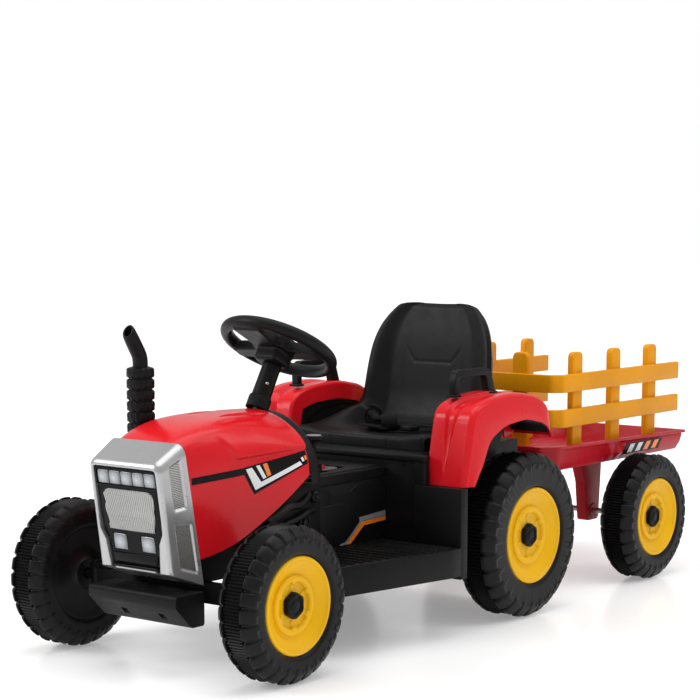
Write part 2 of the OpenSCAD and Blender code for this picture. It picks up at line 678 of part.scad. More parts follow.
module trailer_legs() color(deep_red) both_sides() difference() {
    profile_x(leg_x - 10, leg_x + 10, [[yt - 52, tub_z0 - seat_gap], [yt - 22, zt - 18], [yt + 18, zt - 18],
        [yt + 28, tub_z0 - seat_gap]]);
    translate([0, yt, zt]) bar_x(0, leg_x + 20, axle_r + 0.05);
}

module drawbar() color(deep_red) difference() {
    union() {
        translate([0, hitch_y, hitch_z - 6]) cylinder(h = 12, r = 13, $fn = 48);
        profile_x(-13, 13, [[hitch_y, hitch_z - 6], [hitch_y + 30, hitch_z - 6], [tub_y0 + 120, tub_z0 - 24],
            [tub_y0 + 150, tub_z0 - seat_gap], [tub_y0 + 40, tub_z0 - seat_gap], [hitch_y + 22, hitch_z + 6],
            [hitch_y, hitch_z + 6]]);
    }
    translate([0, hitch_y, hitch_z - 10]) cylinder(h = 20, r = axle_r + running, $fn = 48);
}

// ---------- wheels ----------

// Outline of a shoulder ring: one flat lug per pitch, a lug's tip straight down
function lug_outline(r_tip, r_root) = [for (i = [0:lug_count - 1]) let (pitch = 360 / lug_count, a = i * pitch)
    each [for (p = [[-0.36, r_root], [-0.27, r_tip], [0, r_tip], [0.27, r_tip], [0.36, r_root]])
        [p[1] * cos(a + p[0] * pitch), p[1] * sin(a + p[0] * pitch)]]];

// Wheel pieces lie along X: the outer face is at w / 2, the inner face at -w / 2
module tyre(r, w, rim_r) color(black) rotate([0, 90, 0]) {
    root = r - lug_h;
    rotate_extrude($fn = 96) polygon([[rim_r, -w / 2 + 5], [rim_r + 5, -w / 2], [r - 22, -w / 2],
        [root - 4, -w / 2 + 8], [root, -w / 2 + 14], [root, w / 2 - 14], [root - 4, w / 2 - 8],
        [r - 22, w / 2], [rim_r + 5, w / 2], [rim_r, w / 2 - 5]]);
    for (z0 = [-w / 2 + 9, w / 2 - 29]) translate([0, 0, z0]) difference() {
        linear_extrude(20) polygon(lug_outline(r, root - 5));
        translate([0, 0, -1]) cylinder(h = 22, r = root - 8, $fn = 48);
    }
    difference() {
        translate([0, 0, -w / 2 + 31]) cylinder(h = w - 62, r = r - 2, $fn = 96);
        translate([0, 0, -w / 2 + 30]) cylinder(h = w - 60, r = root - 8, $fn = 48);
    }
}

hub_r = 16;
module rim(w, rim_r) color(yellow) rotate([0, 90, 0]) difference() {
    face = disc_face(w);
    rotate_extrude($fn = 96) polygon([[axle_r + running, -w / 2 + 4], [hub_r, -w / 2 + 4], [hub_r, face - 5],
        [rim_r * 0.5, face - 3], [rim_r * 0.62, face + 3], [rim_r - 14, face - 2], [rim_r - 6, -w / 2 + 6],
        [rim_r, -w / 2 + 6], [rim_r, w / 2 - 5], [rim_r - 4, w / 2 - 3], [rim_r - 8, face + 3],
        [rim_r * 0.62, face + 8], [rim_r * 0.5, face + 4], [hub_r + 9, face], [axle_r + running, face]]);
}

module cap(w) color(black) rotate([0, 90, 0]) translate([0, 0, disc_face(w) + 0.1]) difference() {
    linear_extrude(cap_h) {
        circle(r = 20, $fn = 48);
        for (i = [0:5]) rotate(60 * i) translate([16, 0]) circle(r = 7, $fn = 24);
    }
    translate([0, 0, -1]) cylinder(h = 7, r = axle_r + 4, $fn = 48);
}

module left_wheel(out, w, y, z) translate([out - w / 2, y, z]) children();
module right_wheel(out, w, y, z) mirror([1, 0, 0]) left_wheel(out, w, y, z) children();

module front_tyre_left() left_wheel(front_out, front_tyre_w, yf, zf) tyre(zf, front_tyre_w, front_rim_r);
module front_rim_left() left_wheel(front_out, front_tyre_w, yf, zf) rim(front_tyre_w, front_rim_r);
module front_cap_left() left_wheel(front_out, front_tyre_w, yf, zf) cap(front_tyre_w);
module front_tyre_right() right_wheel(front_out, front_tyre_w, yf, zf) tyre(zf, front_tyre_w, front_rim_r);
module front_rim_right() right_wheel(front_out, front_tyre_w, yf, zf) rim(front_tyre_w, front_rim_r);
module front_cap_right() right_wheel(front_out, front_tyre_w, yf, zf) cap(front_tyre_w);
module rear_tyre_left() left_wheel(rear_out, rear_tyre_w, yr, zr) tyre(zr, rear_tyre_w, rear_rim_r);
module rear_rim_left() left_wheel(rear_out, rear_tyre_w, yr, zr) rim(rear_tyre_w, rear_rim_r);
module rear_cap_left() left_wheel(rear_out, rear_tyre_w, yr, zr) cap(rear_tyre_w);
module rear_tyre_right() right_wheel(rear_out, rear_tyre_w, yr, zr) tyre(zr, rear_tyre_w, rear_rim_r);
module rear_rim_right() right_wheel(rear_out, rear_tyre_w, yr, zr) rim(rear_tyre_w, rear_rim_r);
module rear_cap_right() right_wheel(rear_out, rear_tyre_w, yr, zr) cap(rear_tyre_w);
module trailer_tyre_left() left_wheel(trailer_out, trailer_tyre_w, yt, zt) tyre(zt, trailer_tyre_w, trailer_rim_r);
module trailer_rim_left() left_wheel(trailer_out, trailer_tyre_w, yt, zt) rim(trailer_tyre_w, trailer_rim_r);
module trailer_cap_left() left_wheel(trailer_out, trailer_tyre_w, yt, zt) cap(trailer_tyre_w);
module trailer_tyre_right() right_wheel(trailer_out, trailer_tyre_w, yt, zt) tyre(zt, trailer_tyre_w, trailer_rim_r);
module trailer_rim_right() right_wheel(trailer_out, trailer_tyre_w, yt, zt) rim(trailer_tyre_w, trailer_rim_r);
module trailer_cap_right() right_wheel(trailer_out, trailer_tyre_w, yt, zt) cap(trailer_tyre_w);

body_shell();
running_boards();
cowl();
hood();
grille_frame();
grille_panel();
grille_mesh();
lamp_lenses();
front_bumper();
exhaust_pipe();
exhaust_bellows();
steering_column();
fender_left();
fender_right();
grab_handles();
seat();
seat_belt();
belt_buckle();
battery();
control_box();
gearboxes();
motors();
rear_axle();
front_axle_beam();
hitch();
switch_plate();
body_screws();
steering_wheel();
steering_shaft();
horn_button_left();
horn_button_right();
tie_rod();
knuckle_left();
knuckle_right();
accelerator_pedal();
gear_lever();
power_switch();
trailer_tub();
fence_panels();
trailer_legs();
trailer_axle();
drawbar();
front_tyre_left();
front_rim_left();
front_cap_left();
front_tyre_right();
front_rim_right();
front_cap_right();
rear_tyre_left();
rear_rim_left();
rear_cap_left();
rear_tyre_right();
rear_rim_right();
rear_cap_right();
trailer_tyre_left();
trailer_rim_left();
trailer_cap_left();
trailer_tyre_right();
trailer_rim_right();
trailer_cap_right();
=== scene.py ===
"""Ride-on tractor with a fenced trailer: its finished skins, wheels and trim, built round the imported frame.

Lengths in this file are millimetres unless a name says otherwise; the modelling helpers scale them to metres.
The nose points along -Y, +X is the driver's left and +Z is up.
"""
from math import cos, exp, pi, radians, sin, sqrt

import bpy
from bpy.props import FloatProperty, FloatVectorProperty, IntProperty, PointerProperty
from mathutils import Matrix, Vector


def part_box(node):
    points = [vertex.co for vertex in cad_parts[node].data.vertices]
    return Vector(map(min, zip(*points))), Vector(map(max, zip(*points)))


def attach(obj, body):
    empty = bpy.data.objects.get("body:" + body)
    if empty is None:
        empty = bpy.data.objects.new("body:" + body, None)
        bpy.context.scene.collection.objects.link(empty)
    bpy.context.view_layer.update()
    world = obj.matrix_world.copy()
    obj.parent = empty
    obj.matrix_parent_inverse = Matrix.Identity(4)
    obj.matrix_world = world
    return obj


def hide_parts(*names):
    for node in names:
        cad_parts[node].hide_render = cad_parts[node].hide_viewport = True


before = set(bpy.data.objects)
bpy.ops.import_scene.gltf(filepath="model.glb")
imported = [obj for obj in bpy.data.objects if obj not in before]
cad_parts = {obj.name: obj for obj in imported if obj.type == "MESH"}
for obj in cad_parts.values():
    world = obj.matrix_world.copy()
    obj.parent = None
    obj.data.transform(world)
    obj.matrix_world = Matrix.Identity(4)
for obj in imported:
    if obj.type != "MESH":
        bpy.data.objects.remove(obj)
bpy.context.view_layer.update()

bl_info = {
    "name": "Ride-on tractor and trailer",
    "version": (1, 0, 0),
    "blender": (4, 5, 0),
    "location": "View3D > Sidebar > Tractor",
    "description": "Builds the skins, wheels and trim of a ride-on tractor and its trailer",
    "category": "Add Mesh",
}

MM = 0.001


# ---------- places taken from the frame ----------

def corners(node):
    """A CAD node's lowest and highest corners, in millimetres."""
    low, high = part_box(node)
    return low / MM, high / MM


def middle(node):
    low, high = corners(node)
    return (low + high) / 2


FRONT = middle("front_tyre_left")
REAR = middle("rear_tyre_left")
TRAILER = middle("trailer_tyre_left")
YF, ZF = FRONT.y, FRONT.z
YR, ZR = REAR.y, REAR.z
YT, ZT = TRAILER.y, TRAILER.z
HOOD_HIGH = corners("hood")[1]
TUB_LOW, TUB_HIGH = corners("trailer_tub")
TUNNEL_W = 80
TUNNEL_TOP = corners("switch_plate")[0].z
SKIN = 3
COLUMN_LEAN = radians(30)
WHEEL_CENTRE = Vector((0, YF + 240, HOOD_HIGH.z + 90))
FENDER_OUT = corners("fender_left")[1].x


# ---------- sizes and colours a user may change ----------

def length(name, description, default, low, high):
    return FloatProperty(name=name, description=description, default=default, min=low, max=high)


def number(name, description, default, low, high):
    return IntProperty(name=name, description=description, default=default, min=low, max=high)


def paint(name, description, default):
    return FloatVectorProperty(name=name, description=description, default=default, size=3,
                               min=0, max=1, subtype="COLOR")


class TractorSizes(bpy.types.PropertyGroup):
    lug_count: number("Lugs", "Lugs round each tyre shoulder", 28, 16, 40)
    ribs_per_lug: number("Ribs per lug", "Fine tread ribs to each lug", 5, 2, 8)
    lug_height: length("Lug height", "Depth of the tread between two lugs, in mm", 5.0, 1, 7)
    mesh_ribs: number("Grille ribs", "Upright ribs of the grille mesh", 25, 8, 40)
    bellows_rings: number("Bellows rings", "Rings of the exhaust bellows", 6, 3, 8)
    crease_depth: length("Hood crease", "Step between the hood's upper and lower side, in mm", 4.2, 0.5, 6)
    seam_depth: length("Seat seams", "Depth of the seat's moulded lines, in mm", 1.6, 0.3, 3)
    board_pitch: length("Board ribs", "Spacing of the ribs on the running boards, in mm", 18, 5, 20)


class TractorColours(bpy.types.PropertyGroup):
    hood_red: paint("Hood red", "Hood and fenders", (0.62, 0.008, 0.014))
    tub_red: paint("Tub red", "Trailer tub and its undercarriage", (0.40, 0.004, 0.012))
    amber: paint("Fence amber", "Trailer fence", (0.68, 0.275, 0.003))
    yellow: paint("Rim yellow", "Wheel rims", (0.78, 0.43, 0.003))
    black: paint("Moulded black", "Chassis, cab and bumper", (0.0062, 0.0062, 0.0066))
    tyre: paint("Tyre black", "Blown plastic tyres", (0.0062, 0.0062, 0.0066))
    seat: paint("Seat black", "Moulded seat", (0.0075, 0.0072, 0.0072))
    silver: paint("Silver paint", "Grille shell", (0.39, 0.39, 0.395))
    lens: paint("Lamp lens", "Headlight and fog lamp lenses", (0.20, 0.215, 0.235))
    orange: paint("Decal orange", "Accent of the side decals", (0.85, 0.20, 0.012))


def sizes():
    return bpy.context.scene.tractor_sizes


def colours():
    return bpy.context.scene.tractor_colours


# ---------- modelling helpers ----------

def clear_selection():
    if bpy.context.mode != "OBJECT":
        bpy.ops.object.mode_set(mode="OBJECT")
    bpy.ops.object.select_all(action="DESELECT")


def take(obj, *others):
    clear_selection()
    for other in others:
        other.select_set(True)
    obj.select_set(True)
    bpy.context.view_layer.objects.active = obj
    return obj


def edit(obj, *steps):
    """Runs edit-mode steps on all of a mesh."""
    take(obj)
    bpy.ops.object.mode_set(mode="EDIT")
    bpy.ops.mesh.select_all(action="SELECT")
    for operator, settings in steps:
        operator(**settings)
    bpy.ops.object.mode_set(mode="OBJECT")
    return obj


def close_skin(obj, fill=False):
    """Merges doubles, fills open ends and turns the faces outwards."""
    steps = [(bpy.ops.mesh.remove_doubles, {"threshold": 0.01 * MM})]
    if fill:
        steps.append((bpy.ops.mesh.fill_holes, {"sides": 0}))
    steps.append((bpy.ops.mesh.normals_make_consistent, {"inside": False}))
    return edit(obj, *steps)


def modify(obj, kind, **settings):
    take(obj)
    modifier = obj.modifiers.new(kind.title(), kind)
    for name, value in settings.items():
        setattr(modifier, name, value)
    bpy.ops.object.modifier_apply(modifier=modifier.name)
    return obj


def round_edges(obj, radius, segments=3, angle=32):
    return modify(obj, "BEVEL", width=radius * MM, segments=segments, limit_method="ANGLE",
                  angle_limit=radians(angle), harden_normals=False, miter_outer="MITER_ARC")


def thicken(obj, wall, offset=-1):
    return modify(obj, "SOLIDIFY", thickness=wall * MM, offset=offset, use_even_offset=False)


def grid(name, across, along, place):
    """A sheet of quads whose corners stand where place(u, v) says; its UV map is (u, v)."""
    clear_selection()
    bpy.ops.mesh.primitive_grid_add(x_subdivisions=across, y_subdivisions=along, size=1)
    obj = bpy.context.object
    obj.name = obj.data.name = name
    for vertex in obj.data.vertices:
        u, v = vertex.co.x + 0.5, vertex.co.y + 0.5
        vertex.co = Vector(place(u, v)) * MM
    return obj


def block(name, low, high, radius):
    """A block between two corners, its edges rounded."""
    low, high = Vector(low), Vector(high)
    clear_selection()
    bpy.ops.mesh.primitive_cube_add(size=1, location=(low + high) / 2 * MM, scale=(high - low) * MM)
    obj = bpy.context.object
    obj.name = obj.data.name = name
    bpy.ops.object.transform_apply(location=True, rotation=True, scale=True)
    return round_edges(obj, radius)


def prism(name, outline, start, end, axis, radius):
    """An outline, given in the two other axes in order, pushed from start to end along an axis."""
    order = {"x": (2, 0, 1), "y": (0, 2, 1), "z": (0, 1, 2)}[axis]

    def put(point, depth):
        values = (point[0], point[1], depth)
        return Vector([values[i] for i in order])

    clear_selection()
    bpy.ops.mesh.primitive_circle_add(vertices=len(outline), fill_type="NGON")
    obj = bpy.context.object
    obj.name = obj.data.name = name
    for vertex, point in zip(obj.data.vertices, outline):
        vertex.co = put(point, start) * MM
    push = (put((0, 0), end) - put((0, 0), start)) * MM
    edit(obj, (bpy.ops.mesh.extrude_region_move, {"TRANSFORM_OT_translate": {"value": push}}),
         (bpy.ops.mesh.select_all, {"action": "SELECT"}),
         (bpy.ops.mesh.normals_make_consistent, {"inside": False}))
    return round_edges(obj, radius) if radius else obj


def even(half):
    """An outline that is the same on both sides: its +X half, then that half mirrored."""
    return half + [(-x, y) for x, y in reversed(half)]


def fillet(points, radius, steps=4, closed=False):
    """A line's corners, each replaced by an arc of about that radius."""
    points = [Vector(p) for p in points]
    n = len(points)
    rounded = []
    for i, point in enumerate(points):
        if not closed and i in (0, n - 1):
            rounded.append(point)
            continue
        before, after = points[i - 1] - point, points[(i + 1) % n] - point
        reach = min(radius, before.length * 0.48, after.length * 0.48)
        a, b = point + before.normalized() * reach, point + after.normalized() * reach
        for k in range(steps + 1):
            t = k / steps
            rounded.append(a * (1 - t) ** 2 + point * 2 * t * (1 - t) + b * t * t)
    return rounded


def lathe(name, profile, centre, along, segments, wave=None):
    """Turns a profile of (radius, height) round an axis through centre; wave may move each of its points."""
    along = Vector(along).normalized()
    side = along.orthogonal().normalized() if abs(along.x) < 0.99 else Vector((0, 0, -1))
    third = along.cross(side)
    ring = list(profile) + [profile[0]]
    last = len(ring) - 1

    def place(u, v):
        radius, height = ring[round(v * last)]
        angle = 2 * pi * u
        if wave:
            radius, height = wave(radius, height, angle)
        return Vector(centre) + along * height + (side * cos(angle) + third * sin(angle)) * radius

    return close_skin(grid(name, segments, last, place))


def sweep(name, path, section, up):
    """A closed section, given as (sideways, upwards) points, carried along a path of points."""
    path = [Vector(p) for p in path]
    last = len(path) - 1
    frames = []
    lift = Vector(up)
    for i, point in enumerate(path):
        tangent = (path[min(i + 1, last)] - path[max(i - 1, 0)]).normalized()
        lift = (lift - tangent * lift.dot(tangent)).normalized()
        frames.append((point, tangent.cross(lift), lift))
    count = len(section)

    def place(u, v):
        point, side, lift = frames[round(v * last)]
        a, b = section[round(u * count) % count]
        return point + side * a + lift * b

    return close_skin(grid(name, count, last, place), fill=True)


def round_section(radius, count=20):
    return [(radius * cos(2 * pi * i / count), radius * sin(2 * pi * i / count)) for i in range(count)]


def join(obj, *others):
    take(obj, *others)
    bpy.ops.object.join()
    return bpy.context.object


def cut(obj, cutter):
    modify(obj, "BOOLEAN", operation="DIFFERENCE", object=cutter, solver="EXACT")
    bpy.data.objects.remove(cutter)
    return obj


def mirrored(obj, name=None):
    """A copy on the other side of the train, with its own mesh."""
    copy = obj.copy()
    copy.data = obj.data.copy()
    copy.name = copy.data.name = name or obj.name + "_far"
    bpy.context.scene.collection.objects.link(copy)
    copy.data.transform(Matrix.Diagonal((-1, 1, 1, 1)))
    copy.data.flip_normals()
    return copy


def both_sides(obj):
    """The piece and its mirror image, joined."""
    return join(obj, mirrored(obj))


def moved(obj, offset):
    obj.data.transform(Matrix.Translation(Vector(offset) * MM))
    return obj


def softened(node, name, radius, segments):
    """A copy of a CAD node with its flat faces whole again and its edges rounded."""
    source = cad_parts[node]
    obj = bpy.data.objects.new(name, source.data.copy())
    bpy.context.scene.collection.objects.link(obj)
    obj.data.materials.clear()
    edit(obj, (bpy.ops.mesh.remove_doubles, {"threshold": 0.02 * MM}),
         (bpy.ops.mesh.dissolve_limited, {"angle_limit": radians(1.5)}),
         (bpy.ops.mesh.normals_make_consistent, {"inside": False}))
    return round_edges(obj, radius, segments)


def finished(obj, body, finish, replaces=(), angle=35):
    """Smooths a piece, gives it its finish and hangs it on its body."""
    take(obj)
    bpy.ops.object.shade_smooth_by_angle(angle=radians(angle))
    obj.data.materials.clear()
    obj.data.materials.append(finish)
    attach(obj, body)
    if replaces:
        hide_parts(*replaces)
    return obj


def mix(a, b, t):
    return a + (b - a) * t


def step(low, high, x):
    """0 below low, 1 above high, smooth between."""
    t = min(1, max(0, (x - low) / (high - low)))
    return t * t * (3 - 2 * t)


def eased(value, limit, room=4.0):
    """The value, held below a limit without two values ever meeting."""
    over = value - (limit - room)
    return value if over <= 0 else limit - room * exp(-over / room)


def between(points, x):
    """Straight-line table look-up: points of (x, value) in rising x."""
    if x <= points[0][0]:
        return points[0][1]
    for (x0, y0), (x1, y1) in zip(points, points[1:]):
        if x <= x1:
            return mix(y0, y1, (x - x0) / (x1 - x0))
    return points[-1][1]


def spaced(points, count):
    """count + 1 points at even spacing along a line."""
    points = [Vector(p) for p in points]
    marks = [0]
    for a, b in zip(points, points[1:]):
        marks.append(marks[-1] + (b - a).length)
    result, k = [], 0
    for i in range(count + 1):
        goal = marks[-1] * i / count
        while k < len(points) - 2 and marks[k + 1] < goal:
            k += 1
        span = marks[k + 1] - marks[k] or 1
        result.append(points[k].lerp(points[k + 1], min(1, max(0, (goal - marks[k]) / span))))
    return result


# ---------- materials ----------

class Wire:
    """One shader socket. Arithmetic on it adds Math nodes."""

    def __init__(self, finish, socket):
        self.finish, self.socket = finish, socket

    def math(self, operation, a, b):
        return self.finish.node("ShaderNodeMath", {"operation": operation}, {0: a, 1: b})

    def __add__(self, other):
        return self.math("ADD", self, other)

    __radd__ = __add__

    def __sub__(self, other):
        return self.math("SUBTRACT", self, other)

    def __rsub__(self, other):
        return self.math("SUBTRACT", other, self)

    def __mul__(self, other):
        return self.math("MULTIPLY", self, other)

    __rmul__ = __mul__

    def ramp(self, low, high):
        """0 at low, 1 at high, smooth between."""
        return self.finish.node("ShaderNodeMapRange", {"interpolation_type": "SMOOTHSTEP"},
                                {"Value": self, "From Min": low, "From Max": high})


class Finish:
    """A node-based material under construction."""

    def __init__(self, name):
        self.material = bpy.data.materials.new(name)
        self.material.use_nodes = True
        self.tree = self.material.node_tree
        self.shader = self.tree.nodes["Principled BSDF"]

    def node(self, kind, settings=None, inputs=None, output=0):
        made = self.tree.nodes.new(kind)
        for name, value in (settings or {}).items():
            setattr(made, name, value)
        for key, value in (inputs or {}).items():
            self.feed(made.inputs[key], value)
        return Wire(self, made.outputs[output])

    def feed(self, socket, value):
        if isinstance(value, Wire):
            self.tree.links.new(value.socket, socket)
        else:
            socket.default_value = value

    def set(self, **values):
        """Feeds the shader's sockets; an underscore in a name stands for a space."""
        for name, value in values.items():
            self.feed(self.shader.inputs[name.replace("_", " ")], value)
        return self

    def place(self, kind="Object"):
        return self.node("ShaderNodeTexCoord", output=kind)

    def noise(self, scale, detail=3.0, roughness=0.55):
        return self.node("ShaderNodeTexNoise", {}, {"Vector": self.place(), "Scale": scale, "Detail": detail,
                                                    "Roughness": roughness})

    def blend(self, a, b, amount):
        return self.node("ShaderNodeMix", {"data_type": "RGBA"}, {"Factor": amount, 6: rgba(a), 7: rgba(b)},
                         output=2)

    def bump(self, height, distance, strength=1.0):
        return self.node("ShaderNodeBump", {}, {"Height": height, "Distance": distance, "Strength": strength})


def rgba(colour):
    return colour if isinstance(colour, Wire) else (*colour[:3], 1.0)


def scaled(colour, amount):
    return tuple(min(1, c * amount) for c in colour)


def moulded(name, colour, roughness, grain=0.05, grain_scale=1600, coat=0.0, metallic=0.0, variation=0.12,
            specular=0.5):
    """Moulded plastic: cloudy tone, a fine surface grain, and handling marks that change its gloss."""
    f = Finish(name)
    cloud = f.noise(9, 4).ramp(0.35, 0.68)
    marks = f.noise(55, 6, 0.7).ramp(0.42, 0.75)
    f.set(Base_Color=f.blend(scaled(colour, 1 - variation), scaled(colour, 1 + variation), cloud),
          Roughness=marks * 0.09 + cloud * 0.04 + (roughness - 0.05), Metallic=metallic,
          Coat_Weight=coat, Coat_Roughness=0.08, Specular_IOR_Level=specular)
    f.set(Normal=f.bump(f.noise(grain_scale, 2), 0.0002, grain * 4))
    return f.material


def flaked_paint():
    """Silver paint: metal flakes under a clear coat."""
    f = Finish("silver_paint")
    flakes = f.node("ShaderNodeTexVoronoi", {}, {"Vector": f.place(), "Scale": 2600.0}, output=1)
    tone = f.node("ShaderNodeRGBToBW", {}, {0: flakes})
    base = colours().silver
    f.set(Base_Color=f.blend(scaled(base, 0.95), scaled(base, 1.05), tone), Metallic=0.62,
          Roughness=f.noise(40, 4).ramp(0.3, 0.8) * 0.07 + 0.27, Coat_Weight=0.35, Coat_Roughness=0.12)
    return f.material


def tyre_plastic():
    """Blown tyre plastic: satin black with patches of dust and a coarse skin."""
    f = Finish("tyre_plastic")
    dust = f.noise(38, 6, 0.7).ramp(0.5, 0.8)
    base = colours().tyre
    f.set(Base_Color=f.blend(base, scaled(base, 1.9), dust), Roughness=dust * 0.16 + 0.38,
          Specular_IOR_Level=0.14)
    f.set(Normal=f.bump(f.noise(900, 4), 0.0003, 0.25))
    return f.material


def lamp_glass():
    """Lamp lens with a bright bead behind its middle, read from the lens's own map."""
    f = Finish("lamp_lens")
    centred = f.node("ShaderNodeVectorMath", {"operation": "SUBTRACT"},
                     {0: f.place("UV"), 1: (0.5, 0.5, 0.0)})
    away = f.node("ShaderNodeVectorMath", {"operation": "LENGTH"}, {0: centred}, output=1)
    bead = away.ramp(0.20, 0.04)
    base = colours().lens
    f.set(Base_Color=f.blend(scaled(base, 0.55), scaled(base, 1.5), away.ramp(0.55, 0.15)), Roughness=0.12,
          Emission_Color=f.blend((0, 0, 0), (0.85, 0.93, 1.0), bead), Emission_Strength=0.10,
          Coat_Weight=0.8, Coat_Roughness=0.03)
    return f.material


def webbing():
    """Woven belt: ribs across the strap and twill along it, read from the strap's own map."""
    f = Finish("webbing")
    rows = f.node("ShaderNodeTexWave", {"bands_direction": "Y"}, {"Vector": f.place("UV"), "Scale": 60.0,
                                                                 "Distortion": 0.6}, output=1)
    twill = f.node("ShaderNodeTexWave", {"bands_direction": "DIAGONAL"},
                   {"Vector": f.place("UV"), "Scale": 34.0},
                   output=1)
    weave = rows * 0.6 + twill * 0.4
    f.set(Base_Color=f.blend((0.0025, 0.0025, 0.0025), (0.008, 0.008, 0.0085), weave), Roughness=0.82,
          Sheen_Weight=0.02, Specular_IOR_Level=0.1)
    f.set(Normal=f.bump(weave, 0.0004, 0.8))
    return f.material


def brushed_steel():
    f = Finish("plated_steel")
    streaks = f.noise(260, 5, 0.7)
    f.set(Base_Color=f.blend((0.30, 0.31, 0.32), (0.55, 0.56, 0.58), streaks), Metallic=0.95,
          Roughness=streaks * 0.2 + 0.22)
    return f.material


FINISHES = {}


def finish(name):
    """The named finish, made at its first use."""
    c = colours()
    recipes = {
        "red": lambda: moulded(
            "red_plastic", c.hood_red, 0.24, 0.02, coat=0.06, variation=0.04, specular=0.18),
        "tub_red": lambda: moulded(
            "deep_red_plastic", c.tub_red, 0.36, 0.05, coat=0.03, variation=0.06, specular=0.18),
        "amber": lambda: moulded("amber_plastic", c.amber, 0.42, 0.06, variation=0.06, specular=0.12),
        "yellow": lambda: moulded(
            "yellow_plastic", c.yellow, 0.34, 0.04, coat=0.02, variation=0.05, specular=0.16),
        "black": lambda: moulded("black_plastic", c.black, 0.42, 0.16, 1300, specular=0.11),
        "gloss": lambda: moulded("gloss_black", scaled(c.black, 0.5), 0.22, 0.01, coat=0.02, specular=0.08),
        "seat": lambda: moulded("seat_plastic", c.seat, 0.40, 0.10, 1500, specular=0.13),
        "grip": lambda: moulded("grip_plastic", c.black, 0.44, 0.14, 1100, specular=0.13),
        "grey": lambda: moulded("grey_plastic", (0.085, 0.09, 0.095), 0.42, 0.06),
        "signal": lambda: moulded("signal_red", (0.55, 0.012, 0.010), 0.30, 0.02, coat=0.4),
        "white_decal": lambda: moulded("white_decal", (0.76, 0.77, 0.78), 0.30, 0.01, variation=0.03),
        "orange_decal": lambda: moulded("orange_decal", c.orange, 0.30, 0.01, variation=0.05),
        "black_decal": lambda: moulded("black_decal", (0.007, 0.006, 0.006), 0.30, 0.01, specular=0.08),
        "grey_decal": lambda: moulded("grey_decal", (0.20, 0.20, 0.21), 0.34, 0.02, variation=0.05),
        "mesh": lambda: moulded("mesh_silver", (0.46, 0.46, 0.45), 0.32, 0.03, metallic=0.4, variation=0.05),
        "vent": lambda: moulded("vent_mesh", (0.34, 0.32, 0.29), 0.36, 0.05, metallic=0.5, variation=0.12),
        "silver": flaked_paint,
        "tyre": tyre_plastic,
        "lens": lamp_glass,
        "webbing": webbing,
        "steel": brushed_steel,
    }
    if name not in FINISHES:
        FINISHES[name] = recipes[name]()
    return FINISHES[name]


# ---------- hood and cowl ----------

HOOD_END = HOOD_HIGH.y
HOOD_SIDE = (75, HOOD_HIGH.x)
NOSE_ROOF = 334


def hood_section(s):
    """Half width, foot, crest and squareness of the hood's arch, s from nose to cowl."""
    foot = mix(ZF + 52, ZF + 156, 0.27 * s + 0.73 * s * s)
    width = mix(*HOOD_SIDE, s) - 0.8 * sizes().crease_depth * step(0.3, 0.6, s)
    return width, foot, HOOD_HIGH.z - 28 * (1 - s) ** 4, 2.1 + 4.4 * (1 - s ** 1.5)


def hood_front(z):
    return mix(YF - 18, YF - 56, (z - ZF - 13) / (NOSE_ROOF - ZF - 13))


def hood_recess(s, x, z):
    """How far the skin sits back: less on the raised side band, more in the two leaf scoops."""
    crease = mix(300, 309, s)
    edge = mix(0.39, 0.31, (z - 303) / 30)
    raised = step(crease - 1.8, crease + 2.4, z) * step(edge - 0.016, edge + 0.03, s) * step(350, 308, z)
    side = -sizes().crease_depth * raised
    leaf_t = min(1, max(0, (s - 0.52) / 0.40))
    width = 11 * sin(pi * leaf_t) ** 0.8 + 0.01
    off = (abs(x) - 30 - 12 * leaf_t) / width
    leaf = 3.2 * step(1.0, 0.55, abs(off)) * step(0.0, 0.2, leaf_t) if width > 1 else 0
    return side + leaf


def hood_point(s, x, z):
    """A point of the arch, moved in by the recess along the arch's own normal."""
    w, foot, crest, k = hood_section(s)
    rise = max(0, (z - foot) / (crest - foot))
    normal = Vector((abs(x / w) ** (k - 1) / w * (1 if x > 0 else -1), 0, rise ** (k - 1) / (crest - foot)))
    if normal.length < 1e-9:
        normal = Vector((1 if x > 0 else -1, 0, 0))
    spot = Vector((x, mix(hood_front(z), HOOD_END, s), z))
    return spot - normal.normalized() * hood_recess(s, x, z)


def arch(w, foot, crest, k, count):
    """Evenly spaced points of an arch, from its +X foot over the top to its -X foot."""
    fine = []
    for i in range(361):
        a = pi * i / 360
        c, up = cos(a), max(0, sin(a))
        fine.append((w * abs(c) ** (2 / k) * (1 if c > 0 else -1), 0, foot + (crest - foot) * up ** (2 / k)))
    return spaced(fine, count)


def build_hood():
    across, along = 200, 110
    rings = [arch(*hood_section(j / along), across) for j in range(along + 1)]

    def place(u, v):
        j = round(v * along)
        point = rings[j][round(u * across)]
        return hood_point(j / along, point.x, point.z)

    skin = grid("hood_skin", across, along, place)
    close_skin(skin)
    thicken(skin, SKIN)
    finished(skin, "tractor", finish("red"), ["hood"], 28)


def hood_side_x(y, z):
    front = hood_front(z)
    s = (y - front) / (HOOD_END - front)
    w, foot, crest, k = hood_section(s)
    rise = min(1, max(0, (z - foot) / (crest - foot)))
    return hood_point(s, w * (1 - rise ** k) ** (1 / k), z)


DECAL_WALL = 0.25


def patch(name, quad, surface, lift):
    """A thin decal on a surface; its four corners go round in order."""
    a, b, c, d = [Vector(p) for p in quad]

    def place(u, v):
        spot = a.lerp(b, u).lerp(d.lerp(c, u), v)
        return surface(spot.x, spot.y) + Vector((lift, 0, 0))

    made = grid(name, 14, 6, place)
    edit(made, (bpy.ops.mesh.remove_doubles, {"threshold": 0.01 * MM}))
    if made.data.polygons[len(made.data.polygons) // 2].normal.x < 0:
        made.data.flip_normals()
    return thicken(made, DECAL_WALL, 1)


